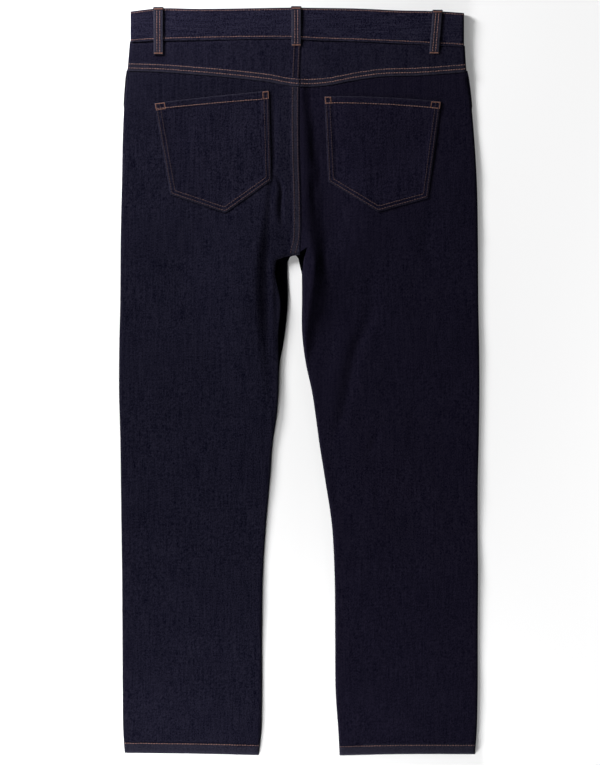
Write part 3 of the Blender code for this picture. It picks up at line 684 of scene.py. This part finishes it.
def denim(kind):
    """Raw indigo denim: pale specks, slubs along the warp, twill relief and pale worn edges."""
    nodes = Nodes(f"denim_{kind}")
    tone, reach, tint = CLOTHS[kind]
    cloth = nodes.mapped(nodes.spot(), pi / 2 if kind == "band" else 0.0)
    noises = {key: nodes.noise(cloth, row[:3], row.detail, row.roughness) for key, row in PATTERNS.items()}
    field = nodes.sum_of(*((noises[key], row.weight) for key, row in PATTERNS.items()))
    middle = 0.5 * sum(row.weight for row in PATTERNS.values())
    inputs = {"Value": field, "From Min": middle - reach, "From Max": middle + reach}
    spread = nodes.add("MapRange", inputs).outputs["Result"]
    dark, light = ([part * tone * share for part, share in zip(c, tint)] for c in (DENIM_DARK, DENIM_LIGHT))
    worn = nodes.math("MULTIPLY", nodes.attribute("wear"), nodes.math("ADD", noises["specks"], 0.25))
    base = nodes.mix(worn, nodes.ramp(spread, dark, light), DENIM_WORN)
    twill = nodes.ribs(nodes.mapped(cloth, TWILL_TURN), 330.0, 1.2, 1.0)
    relief = nodes.sum_of((twill, 0.5), (field, 1.2))
    return nodes.finish(base, 0.9, (relief, 0.35, 0.00025), Specular_IOR_Level=0.0)


def thread():
    """Core-spun thread, from a dark rust, painted shade on the rows running up and down, through tan to the
    orange of the bartacks.
    """
    nodes = Nodes("thread_tan")
    fibre = nodes.noise(nodes.spot(), (2600.0, 2600.0, 2600.0), 2.0)
    level = nodes.sum_of((nodes.attribute("shade"), 1.0), (fibre, 0.2), (1.0, -0.1))
    base = nodes.ramp(level, THREAD_RUST, THREAD_ORANGE, THREAD_TAN)
    return nodes.finish(base, 0.62, (fibre, 0.4, 0.0001), Specular_IOR_Level=0.06)


def zip_cloth():
    """Woven zip tape, ribbed along its length."""
    nodes = Nodes("zip_tape")
    spot = nodes.spot()
    grain = nodes.noise(spot, (900.0, 1500.0, 900.0), 2.0)
    level = nodes.sum_of((nodes.ribs(spot, 260.0, 0.3, 2.0), 0.6), (grain, 0.4))
    return nodes.finish(nodes.mix(level, ZIP_DARK, ZIP_LIGHT), 0.85, (level, 0.5, 0.0002))


def aged_brass():
    nodes = Nodes("brass_aged")
    patina = nodes.noise(nodes.spot(), (420.0, 420.0, 420.0), 4.0, 0.6)
    base = nodes.mix(patina, [part * 0.45 for part in BRASS], BRASS)
    return nodes.finish(base, 0.35, (patina, 0.25, 0.0002), Metallic=1.0)


# ---- panels ----


def fell(side, from_seam):
    """The ridge of the felled seat seam, whose lapping edge is the left back's."""
    if side == "right":
        return np.zeros_like(from_seam)
    rise = FELL_RISE * ease((from_seam + FELL_HALF + PLY_STEP) / PLY_STEP)
    return rise * quarter_round((FELL_LAP - from_seam) / FOLDED_EDGE)


def back_leg(side, cloth):
    def under_yoke(x):
        return smooth(YOKE_SEAM, "y", x) + 0.0015

    plan, outer, turned = leg_plan(side, BACK_TOP, under_yoke, CELL, seat_line, CROTCH[side])
    x, y = plan[..., 0], plan[..., 1]
    from_seam = x - smooth(SEAT_SEAM, "x", y)
    above_crotch = ease((y - 0.158) / 0.008)
    height = back_face(x, y) + fell(side, from_seam) * above_crotch
    # the hem, three layers thick up to just over its row of stitches
    from_hem = y - smooth(HEMS[side], "y", x)
    height += 0.0010 * ease((HEM_DEPTH + 0.0030 - from_hem) / 0.0022)
    hem_fold = quarter_round(from_hem / 0.0012)
    # down to the yoke's underside at the top
    height -= 0.0007 * (1 - ease((smooth(YOKE_SEAM, "y", x) + 0.0008 - y) / PLY_STEP))
    # down to the outseam and inseam
    distance = np.minimum(nearest_on(outer[::3], x, y)[0], nearest_on(turned[::2], x, y)[0])
    base = front_face(x, y) + EDGE_RISE
    height = turned_down(base, height, distance)
    height = base * 0.6 + (height - base * 0.6) * (0.35 + 0.65 * hem_fold)
    fold_wear, hem_wear = HEM_WEAR[side]
    wear = fold_wear * bell(from_hem, 0.0016) + hem_wear * (from_hem < HEM_DEPTH + 0.001)
    wear += 0.13 * (np.abs(from_seam) < FELL_HALF) * above_crotch * (side == "left")
    wear += 0.08 * bell(distance, 0.002)
    cutting = (NOTCH, "DIFFERENCE") if side == "right" else ()
    return panel(f"back_{side}", f"back_leg_{side}", x, y, height, True, [cloth], wear, cutting=cutting)


def opening_arc(side, border=0.0):
    """The scooped edge of a front pocket, from the outseam round to the band, wider by border."""
    angles = np.linspace(pi / 2, 0.0, 25)
    x = smooth(OUTSEAM, side, 0.445) - SIDES[side] * (OPENING_WIDTH + border) * np.cos(angles)
    return joined(x, OPENING_TOP - (OPENING_DROP + border) * np.sin(angles))


def opening_outline(side, outer_x, border=0.0):
    arc = opening_arc(side, border)
    top = OPENING_TOP + OPENING_BEYOND
    return [(outer_x, arc[0][1]), *arc, (arc[-1][0], top), (outer_x, top)]


def front_leg(side, cloth, inside):
    def under_band(x):
        return smooth(WAISTBAND, "bottom", x) - SEAM_GAP

    edges = (FRONT_CROTCH_LEFT, FRONT_INSEAM_LEFT) if side == "left" else (CROTCH[side], INSEAM)
    plan, _, _ = leg_plan(side, FRONT_TOP, under_band, FRONT_CELL, middle_line, *edges)
    x, y = plan[..., 0], plan[..., 1]
    hem = ease((HEM_DEPTH - 0.0005 - (y - smooth(HEMS[side], "y", x))) / 0.0015)
    height = front_face(x, y) + FRONT_PLY * (1 - hem)
    outer = smooth(OUTSEAM, side, 0.445) + SIDES[side] * OPENING_BEYOND
    name, node, cutting = f"front_{side}", f"front_leg_{side}", (opening_outline(side, outer), "DIFFERENCE")
    # inside, on the inner face, is a near-black material: painted shade where the back shades the front
    return panel(name, node, x, y, height, False, [cloth, inside], 0.2 * hem, cutting=cutting)


def behind_front(x, y):
    """The outer face of what lies against the front's inner face."""
    return front_face(x, y) + FRONT_PLY + DENIM + SEAM_GAP


def pocket_facing(side, cloth):
    """The denim that shows through a front pocket's opening."""
    sign = SIDES[side]
    border = FACING_BORDER + FACING_SPARE
    outer = smooth(OUTSEAM, side, 0.37) - sign * FACING_INSET
    xs = np.linspace(outer, outer - sign * (OPENING_WIDTH + border), 40)
    x, y = np.meshgrid(xs, np.linspace(OPENING_TOP - OPENING_DROP - border, 0.448, 36))
    limit = smooth(OUTSEAM, side, y) - sign * FACING_INSET
    x = np.where(sign * x > sign * limit, limit, x)
    cutting = (opening_outline(side, outer + sign * 0.010, FACING_BORDER), "INTERSECT")
    name, node = f"facing_{side}", f"pocket_facing_{side}"
    return panel(name, node, x, y, behind_front(x, y), False, [cloth], 0.0 * x, cutting=cutting)


def zip_tape(cloth):
    """The closed zip behind the fly: woven tape with the ridge of its teeth."""
    shares, y = np.meshgrid(np.linspace(-1.0, 1.0, 25), np.linspace(ZIP_BOTTOM, ZIP_TOP, 52))
    x = smooth(SEAT_SEAM, "x", y) + shares * ZIP_WIDTH / 2
    height = behind_front(x, y) - 0.0002 * np.exp(-((shares / 0.2) ** 4))
    return panel("zip_tape", "fly_zip", x, y, height, False, [cloth], 0.0 * x, 0.0006)


def yoke(side, cloth):
    """Half of the yoke, whose lower edge laps over the leg."""
    inward = -SIDES[side]
    outer_x = smooth(OUTSEAM, side, 0.425)
    seam_x = seat_line(side, 0.42)
    inner = np.linspace(outer_x + inward * EDGE_WIDTH, seam_x - inward * FOLDED_EDGE * 1.5, 92)
    folded = seam_x - inward * FOLDED_EDGE * np.array([1.0, 0.6, 0.3, 0.1, 0.0])
    columns = np.concatenate([outer_x + inward * EDGE_WIDTH * EDGE_SHARES[:-1], inner, folded])
    rows = np.concatenate([np.linspace(0.0, 0.93, 26), [0.955, 0.975, 0.99, 1.0]])[:, None]
    band_edge = smooth(WAISTBAND, "bottom", columns)
    y = (band_edge + 0.0015) * (1 - rows) + smooth(YOKE_SEAM, "y", columns) * rows
    side_shift = smooth(OUTSEAM, side, y[:, 0]) - outer_x
    seam_shift = seat_line(side, y[:, -1]) - seam_x
    share = (columns - columns[0]) / (columns[-1] - columns[0])
    x = columns + side_shift[:, None] * (1 - share) + seam_shift[:, None] * share
    above_edge = y - smooth(YOKE_SEAM, "y", x)
    below_band = smooth(WAISTBAND, "bottom", x) - y
    height = back_face(x, y) + 0.0004 + fell(side, x - smooth(SEAT_SEAM, "x", y))
    height += 0.0008 * ease((YOKE_TURNING - above_edge) / 0.0016) * quarter_round(above_edge / FOLDED_EDGE)
    height = turned_down(waist_lift(x, y) + EDGE_RISE, height, np.abs(x - smooth(OUTSEAM, side, y)))
    height -= 0.0006 * (1 - ease((below_band + 0.0002) / PLY_STEP)) + 0.0007 * bell(below_band, 0.0030)
    wear = 0.16 * bell(above_edge, 0.0020) + 0.10 * (above_edge < YOKE_TURNING - 0.001)
    return panel(f"yoke_panel_{side}", f"yoke_{side}", x, y, height, True, [cloth], wear)


def band_path():
    """The band's outer face seen from above its edge: x, and height over the front's outer face."""
    radius = BAND_RISE / 2
    tuck = 0.0018

    def turn(end, way):
        angles = (way * (pi * step / 12 - pi / 2) for step in range(1, 13))
        return [(end + way * radius * (cos(angle) - 1), radius + radius * sin(angle)) for angle in angles]

    path = [(CENTRE_FRONT - BAND_UNDERLAP, tuck), (CENTRE_FRONT + BAND_OVERLAP + 0.002, tuck)]
    path += [(CENTRE_FRONT + 0.045, 0.0), (BAND_RIGHT - radius, 0.0), *turn(BAND_RIGHT, 1)]
    path += [(BAND_LEFT + radius, BAND_RISE), *turn(BAND_LEFT, -1), (CENTRE_FRONT + BAND_OVERLAP, 0.0)]
    return resampled(path, 0.0021)


def waistband(cloth):
    x, over_front = band_path().T
    edge = np.array([0.0, 0.006, 0.015, 0.03])
    parts = np.concatenate([edge, np.linspace(0.05, 0.95, 19), 1 - edge[::-1]])[:, None]
    bottom, top = (smooth(WAISTBAND, column, x) for column in ("bottom", "top"))
    y = bottom + (top - bottom) * parts
    x = np.broadcast_to(x, y.shape)
    on_back = ease((over_front - BAND_RISE * 0.5) / (BAND_RISE * 0.4))
    rounding = quarter_round(np.minimum(y - bottom, top - y) / 0.0011)
    soft = 0.0006 * np.sin(pi * parts) + waves(x, y, 31, 8, 0.030, 0.090, 0.00022)
    height = waist_lift(x, y) + over_front + on_back * (0.0009 * rounding + soft - 0.0002)
    wear = 0.16 * (bell(y - bottom, 0.0013) + bell(top - y, 0.0013))
    return panel("band", "waistband", x, y, height, False, [cloth], wear, 0.0012)


def coons(top, bottom, left, right, u):
    """A patch between four edges, each a function from 0 to 1."""
    along, down = np.meshgrid(u, u)
    s, t = along[..., None], down[..., None]
    first, last = np.zeros_like(along), np.ones_like(along)
    corners = (1 - t) * ((1 - s) * top(first) + s * top(last))
    corners += t * ((1 - s) * bottom(first) + s * bottom(last))
    return (1 - t) * top(along) + t * bottom(along) + (1 - s) * left(down) + s * right(down) - corners


def edge_between(points, bow=0.0):
    """A function along a polyline that bulges by bow."""
    points = np.asarray(points, float)
    lengths = lengths_along(points)
    lengths /= lengths[-1]

    def at(t):
        x, y = (np.interp(t, lengths, column) for column in points.T)
        return joined(x, y + bow * 4 * t * (1 - t))

    return at


def back_pocket(side, cloth):
    """A patch pocket with folded edges and a hemmed mouth."""
    a, b, c, tip, d = BACK_POCKETS[side]
    top, bottom = edge_between((a, b), POCKET_TOP_BOW[side]), edge_between((d, tip, c))
    left, right = edge_between((a, d)), edge_between((b, c))
    fine = np.array([0.0, 0.0015, 0.004, 0.008])
    u = np.concatenate([fine, np.linspace(0.014, 0.986, 84), 1 - fine[::-1]])
    plan = coons(top, bottom, left, right, u)
    x, y = plan[..., 0], plan[..., 1]
    t = np.linspace(0.0, 1.0, 60)
    distance, _ = nearest_on(np.concatenate([left(t), bottom(t)[1:], right(t[::-1])[1:]]), x, y)
    mouth, _ = nearest_on(top(t), x, y)
    first, last = POCKET_HEM_ROWS[side]
    turning = ease((POCKET_TURNING - distance) / 0.0018)
    hem = ease((first + (last - first) * u + 0.0014 - mouth) / 0.0018)
    thick = 0.0010 + 0.0006 * np.maximum(turning, hem) + waves(x, y, 41, 8, 0.020, 0.060, 0.00010)
    rounding = quarter_round(np.minimum(distance, mouth) / FOLDED_EDGE)
    height = back_face(x, y) + DENIM * 0.2 + thick * (0.25 + 0.75 * rounding)
    wear = 0.13 * bell(distance, 0.0022) + 0.20 * bell(mouth, 0.0013)
    return panel(f"pocket_{side}", f"back_pocket_{side}", x, y, height, True, [cloth], wear)


def belt_loop(loop, cloth):
    """A folded strip that turns over the band's top edge and ends under the band."""
    on_back = loop.side == "back"
    up = 1 if on_back else -1
    band_face, panel_face = (BAND_RISE + 0.0014, BACK_RISE + 0.0006) if on_back else (0.0, 0.0)
    over, bulge = (0.0, 0.0014) if on_back else (0.0019, 0.0004)
    bottom = smooth(WAISTBAND, "bottom", loop.x_end)
    top = smooth(WAISTBAND, "top", loop.x_top)

    def at(y, face, plies, share):
        return y, face + up * (LOOP_PLY * plies + bulge * share)

    path = (
        (top + 0.0006 - over, band_face - up * (0.0030 - over)),
        (top + 0.0016 - over, band_face - up * (0.0010 - over / 2)),
        at(top + 0.0014 - over, band_face, 0.8, 0.0),
        at(top - 0.0016 - over, band_face, 1.0, 0.3),
        at(top - 0.0120, band_face, 1.0, 0.85),
        at((top + bottom) / 2, band_face, 1.0, 1.0),
        at(bottom + 0.0060, band_face, 1.0, 0.57),
        at(bottom - 0.0020, panel_face, 1.0, 0.57),
        at(loop.y_end + 0.0016, panel_face, 1.0, 0.15),
        at(loop.y_end, panel_face, 0.4, 0.0),
    )
    y, z = (column[:, None] for column in curve_through(path, 0.0012).T)
    half = np.array([0.0, 0.2, 0.45, 0.7, 0.88, 0.97, 1.0])
    across = np.concatenate([-half[:0:-1], half])
    shift = (loop.x_top - loop.x_end) * (y - loop.y_end) / (top - loop.y_end)
    x = loop.x_end + shift + across * LOOP_WIDTH / 2
    y = np.broadcast_to(y, x.shape)
    crown = 0.0007 * (quarter_round((1 - np.abs(across)) / 0.16) - 1) - 0.00030 * bell(across, 0.22)
    wear = np.broadcast_to(0.16 + 0.34 * np.abs(across) ** 3, x.shape)
    height = waist_lift(x, y) + z + up * crown
    return panel(f"{loop.name}_strip", loop.name, x, y, height, on_back, [cloth], wear, 0.0011)


# ---- stitches ----


def stitch_shape():
    """One stitch along X, a flat-ended spindle whose ends dip into the cloth: points and faces."""
    rings = np.array([-1.0, -0.86, -0.45, 0.0, 0.45, 0.86, 1.0])[:, None]
    angles = np.arange(6) * pi / 3
    radius = np.maximum(0.5 * np.sqrt(1 - np.abs(rings) ** 3.5), 0.12)
    z = radius * np.sin(angles) * 0.8 - 0.25 * rings**2
    points = joined(rings / 2 + 0.0 * angles, radius * np.cos(angles), z)
    numbers = np.arange(z.size).reshape(z.shape)
    following = np.roll(numbers, -1, axis=1)
    walls = joined(numbers[:-1], following[:-1], following[1:], numbers[1:]).reshape(-1, 4)
    return points.reshape(-1, 3), [*walls.tolist(), numbers[0, ::-1].tolist(), numbers[-1].tolist()]


STITCH_POINTS, STITCH_FACES = stitch_shape()
SEWN = []  # every Stitching, in the order in which they are made


class Stitching:
    """Stitches on the side of some pieces that looks up, or down; they are joined in one mesh."""

    def __init__(self, name, seed, *pieces, up=True):
        self.name = name
        self.up = up
        self.random = np.random.default_rng(seed)
        self.points, self.faces, self.shades = [], [], []
        graph = bpy.context.evaluated_depsgraph_get()
        self.trees = [BVHTree.FromObject(piece, graph) for piece in pieces]
        SEWN.append(self)

    def surface(self, spot):
        """The point and normal of the cloth at a plan point, if there is any."""
        side = 1.0 if self.up else -1.0
        start, way = Vector((*spot, 0.2 * side)), Vector((0.0, 0.0, -side))
        hits = [hit for hit in (tree.ray_cast(start, way) for tree in self.trees) if hit[0] is not None]
        if hits:
            where, normal, _, _ = min(hits, key=lambda hit: hit[3])
            return where, normal if (normal.z > 0) == self.up else -normal

    def one(self, where, normal, way, length, width, shade):
        """A stitch on the cloth at a point."""
        way = (way - normal * way.dot(normal)).normalized()
        axes = np.array([way, normal.cross(way), normal])
        centre = np.array(where) + np.array(normal) * width * 0.18
        start = len(self.points) * len(STITCH_POINTS)
        self.points.append((STITCH_POINTS * (length, width, width)) @ axes + centre)
        self.faces += [tuple(number + start for number in face) for face in STITCH_FACES]
        self.shades.append(np.full(len(STITCH_POINTS), shade))

    def row(self, line, level=PALE_ROW, width=STITCH_WIDTH):
        """A row of stitches along a plan line, as pale as level, from 0 to 1."""
        line = resampled(line, STITCH_PITCH)
        for here, there in zip(line, line[1:]):
            found = self.surface((here + there) / 2)
            if found:
                slant, shift, stretch = self.random.normal(0.0, 0.05, 3)
                way = Vector((*(there - here), 0.0)).normalized()
                aside = Vector((-way.y, way.x, 0.0))
                shade = level * self.random.uniform(0.55, 1.45)
                where, way = found[0] + aside * shift * 0.0018, way + aside * (0.05 + slant)
                self.one(where, found[1], way, STITCH_LENGTH * (1 + stretch), width, shade)

    def tack(self, start, end, height=TACK_HEIGHT):
        """A bartack: close stitches across the line from start to end."""
        start, run = np.array(start), np.array(end) - start
        length = np.linalg.norm(run)
        along = run / length
        count = max(3, int(length / TACK_PITCH))
        for k in range(count + 1):
            found = self.surface(start + run * k / count)
            if found:
                lean = 0.35 if k % 2 else -0.1
                way = Vector((-along[1] + along[0] * lean, along[0] + along[1] * lean, 0.0))
                size = (height * self.random.uniform(0.9, 1.1), TACK_WIDTH)
                self.one(found[0] + found[1] * 0.0002, found[1], way, *size, self.random.uniform(0.85, 1.0))

    def finish(self, material):
        points = np.concatenate(self.points).tolist()
        made = mesh_object(self.name, points, self.faces, [material], "shade", np.concatenate(self.shades))
        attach(made, "root")


def band_stitches(band):
    sewn = Stitching("stitches_band", 51, band)
    x = np.linspace(BAND_LEFT + 0.0004, BAND_RIGHT - 0.0004, 300)
    bottom, top, row = (smooth(WAISTBAND, column, x) for column in ("bottom", "top", "row"))
    for up in (True, False):
        sewn.up = up
        sewn.row(joined(x, top - BAND_TOP_ROW))
        sewn.row(joined(x, bottom + row))
    ys = np.linspace(*BAND_END_ROW, 30)
    sewn.row(joined(np.full(len(ys), CENTRE_FRONT + BAND_OVERLAP - 0.0022), ys))


def seat_rows(sewn, y, lean=0.0):
    """The twin rows of the seat seam, their thread darkened as painted shade."""
    for half in (-0.5, 0.5):
        x = smooth(SEAT_SEAM, "x", y) + half * TWIN_GAUGE + 0.0004 + lean
        sewn.row(joined(x, y), PALE_SEAT_PAINTED_SHADE, SEAT_STITCH_WIDTH)


def yoke_stitches(yokes):
    sewn = Stitching("stitches_yoke", 52, *yokes)
    left, right = (smooth(OUTSEAM, side, 0.41) - SIDES[side] * 0.0008 for side in SIDES)
    x = np.linspace(left, right, 300)
    for offset in YOKE_ROWS:
        sewn.row(joined(x, smooth(YOKE_SEAM, "y", x) + offset))
    seat_rows(sewn, np.linspace(0.4465, 0.3965, 60))


def seat_stitches(legs):
    sewn = Stitching("stitches_seat", 53, *legs)
    y = np.linspace(0.3845, 0.1668, 200)
    seat_rows(sewn, y, -0.0042 * ease((0.190 - y) / 0.030))


def inset(points, offset):
    """The polyline moved to its left, mitred at the corners."""
    ways = np.diff(points, axis=0)
    ways /= np.linalg.norm(ways, axis=1, keepdims=True)
    normals = joined(-ways[:, 1], ways[:, 0])
    moved = [points[0] + normals[0] * offset]
    for point, before, after in zip(points[1:-1], normals, normals[1:]):
        system = np.array([before, after])
        moved.append(np.linalg.solve(system, system @ point + offset))
    return np.array([*moved, points[-1] + normals[-1] * offset])


def toward(start, end):
    return (end - start) / np.linalg.norm(end - start)


def pocket_stitches(side, pocket):
    sewn = Stitching(f"stitches_pocket_{side}", 54 + SIDES[side], pocket)
    a, b, c, tip, d = (np.array(corner) for corner in BACK_POCKETS[side])
    for offset in POCKET_ROWS:
        line = inset([a, d, tip, c, b], offset)
        line[0] += toward(line[0], line[1]) * 0.0016
        line[-1] += toward(line[-1], line[-2]) * 0.0016
        # the side rows' darker thread is painted shade
        sewn.row(line[:2], PALE_SIDE_PAINTED_SHADE, SIDE_STITCH_WIDTH)
        sewn.row(line[1:4], PALE_FOOT)
        sewn.row(line[3:], PALE_SIDE_PAINTED_SHADE, SIDE_STITCH_WIDTH)
    share = POCKET_ROWS[0] / np.linalg.norm(b - a)
    t = np.linspace(0.0, 1.0, 60)
    mouth = edge_between((a, b), POCKET_TOP_BOW[side])(share + t * (1 - 2 * share))
    first, last = POCKET_HEM_ROWS[side]
    along = toward(a, b)
    sewn.row(mouth + np.array([along[1], -along[0]]) * (first + (last - first) * t)[:, None])
    # a box of bartacks at each end of the mouth
    for corner, foot, way, (width, height) in zip((a, b), (d, c), (along, -along), POCKET_TACKS[side]):
        fall = toward(corner, foot)
        near = corner + way * 0.0014 + fall * 0.0012
        far = near + way * width
        near_foot, far_foot = near + fall * height, far + fall * height * 0.9
        sewn.tack(near, far, 0.0012)
        sewn.tack(near, near_foot, 0.0010)
        sewn.tack(far, far_foot, 0.0009)
        sewn.tack(near_foot, far_foot, 0.0010)


def opening_stitches(side, front):
    """Twin rows along a front pocket's scooped edge, with a bartack at each end."""
    sewn = Stitching(f"stitches_opening_{side}", 71 + SIDES[side], front, up=False)
    for border in OPENING_ROWS:
        sewn.row(opening_arc(side, border)[1:-1])
    inner, outer = (opening_arc(side, border) for border in (0.001, 0.009))
    for place_on_arc in (1, -3):
        sewn.tack(inner[place_on_arc], outer[place_on_arc])


def fly_stitches(fronts):
    """The fly's curved twin rows on the left front, its edge row, and the twin rows of the seam below it."""
    sewn = Stitching("stitches_fly", 74, *fronts, up=False)
    edge = smooth(SEAT_SEAM, "x", FLY_BOTTOM)
    angles = np.linspace(0.0, pi / 2, 16)[:-1]
    for inwards in (0.0, TWIN_GAUGE):
        width = FLY_WIDTH - inwards
        y = FLY_BOTTOM + FLY_TURN - (FLY_TURN - inwards) * np.sin(angles)
        sewn.row([(edge - width, FLY_TOP), *joined(edge - width * np.cos(angles), y)])
    for offset, top in ((FLY_EDGE_ROW, FLY_TOP), (FLY_EDGE_ROW + TWIN_GAUGE, FLY_BOTTOM - 0.004)):
        y = np.linspace(top, 0.172, 200)
        sewn.row(joined(smooth(SEAT_SEAM, "x", y) - offset, y))
    sewn.tack((edge - 0.0105, FLY_BOTTOM + 0.002), (edge - 0.0012, FLY_BOTTOM + 0.002))


def buttonhole(band):
    """A worked buttonhole in the band's lapping end."""
    sewn = Stitching("stitches_buttonhole", 77, band, up=False)
    half = BUTTONHOLE_LENGTH / 2
    for y in (BUTTON_Y - BUTTONHOLE_WIDTH / 4, BUTTON_Y + BUTTONHOLE_WIDTH / 4):
        sewn.tack((CENTRE_FRONT - half, y), (CENTRE_FRONT + half, y), BUTTONHOLE_WIDTH * 0.45)


def hem_stitches(name, side, leg, up):
    sewn = Stitching(f"{name}_{side}", 57 + SIDES[side], leg, up=up)
    depth = HEM_DEPTH_LEFT if side == "left" else HEM_DEPTH
    left, right = sorted(smooth(seam, side, HEMS[side][1].y + depth) for seam in (OUTSEAM, INSEAM))
    x = np.linspace(left + 0.0006, right - 0.0006, 120)
    sewn.row(joined(x, smooth(HEMS[side], "y", x) + depth), PALE_HEM[side])


def loop_stitches(loop, strip):
    sewn = Stitching(f"stitches_{loop.name}", 60 + len(loop.name), strip, up=loop.side == "back")
    top = smooth(WAISTBAND, "top", loop.x_top)
    lean = (loop.x_top - loop.x_end) / (top - loop.y_end)
    y = np.linspace(loop.y_end + 0.0035, top - 0.0030, 40)
    for half in (-0.0019, 0.0019):
        sewn.row(joined(loop.x_end + (y - loop.y_end) * lean + half, y))
    for y in (top - 0.0010, loop.y_end + 0.0020):
        x = loop.x_end + (y - loop.y_end) * lean
        sewn.tack((x - LOOP_WIDTH * 0.42, y), (x + LOOP_WIDTH * 0.42, y))


# ---- stage ----


def floor():
    nodes = Nodes("floor_paper")
    # the paper is lit evenly, so it makes up what the lamps lack towards the right
    across = nodes.add("SeparateXYZ", {0: nodes.spot()}).outputs["X"]
    lift = nodes.add("MapRange", {"Value": across, "From Min": 0.0, "From Max": 0.4, "To Max": 0.30})
    paper = nodes.finish(
        (0.78, 0.78, 0.782), 0.9,
        Specular_IOR_Level=0.1, Emission_Color=WHITE, Emission_Strength=lift.outputs["Result"],
    )
    signs = ((-1, -1), (1, -1), (1, 1), (-1, 1))
    corners = [(x * FLOOR_HALF, y * FLOOR_HALF, FLOOR_Z) for x, y in signs]
    mesh_object("floor", corners, [(0, 1, 2, 3)], [paper])


def stage():
    floor()
    for lamp in LAMPS:
        data = bpy.data.lights.new(lamp.name, "AREA")
        data.shape = "DISK"
        data.size = lamp.size
        data.energy = lamp.power
        made = add_object(lamp.name, data)
        made.location = lamp.place
        made.rotation_euler = (-Vector(lamp.place)).to_track_quat("-Z", "Y").to_euler()
    world = bpy.data.worlds.new("studio")
    world.use_nodes = True
    background = world.node_tree.nodes["Background"]
    background.inputs["Color"].default_value = (*WHITE, 1.0)
    background.inputs["Strength"].default_value = WORLD_STRENGTH
    bpy.context.scene.world = world
    bpy.context.scene.view_settings.view_transform = "Standard"
    data = bpy.data.cameras.new("camera")
    data.lens = LENS
    made = add_object("camera", data)
    made.location = (*VIEW_CENTRE, VIEW_HEIGHT * LENS / SENSOR)
    bpy.context.scene.camera = made


# ---- the jeans ----


def build():
    cloths = {kind: denim(kind) for kind in CLOTHS}
    # the front's inner face: near-black, painted shade
    inside = Nodes("denim_inside").finish(DENIM_INSIDE_PAINTED_SHADE, 0.95, Specular_IOR_Level=0.0)
    legs = {side: cloths[f"leg_{side}"] for side in SIDES}

    backs = {side: back_leg(side, legs[side]) for side in SIDES}
    yokes = {side: yoke(side, cloths["yoke"]) for side in SIDES}
    pockets = {side: back_pocket(side, cloths[f"pocket_{side}"]) for side in SIDES}
    fronts = {side: front_leg(side, legs[side], inside) for side in SIDES}
    facings = {side: pocket_facing(side, legs[side]) for side in SIDES}
    tape = zip_tape(zip_cloth())
    band = waistband(cloths["band"])
    strips = {loop: belt_loop(loop, cloths["loop"]) for loop in BELT_LOOPS}
    bpy.context.view_layer.update()

    band_stitches(band)
    yoke_stitches(yokes.values())
    seat_stitches(backs.values())
    for side in SIDES:
        pocket_stitches(side, pockets[side])
        hem_stitches("stitches_hem", side, backs[side], True)
        hem_stitches("stitches_front_hem", side, fronts[side], False)
        opening_stitches(side, fronts[side])
    fly_stitches(fronts.values())
    buttonhole(band)
    for loop, strip in strips.items():
        loop_stitches(loop, strip)
    tan = thread()
    for sewn in SEWN:
        sewn.finish(tan)

    brass = aged_brass()
    for name in ("zip_slider", "waist_button"):
        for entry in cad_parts[name].material_slots:
            entry.material = brass


build()
stage()
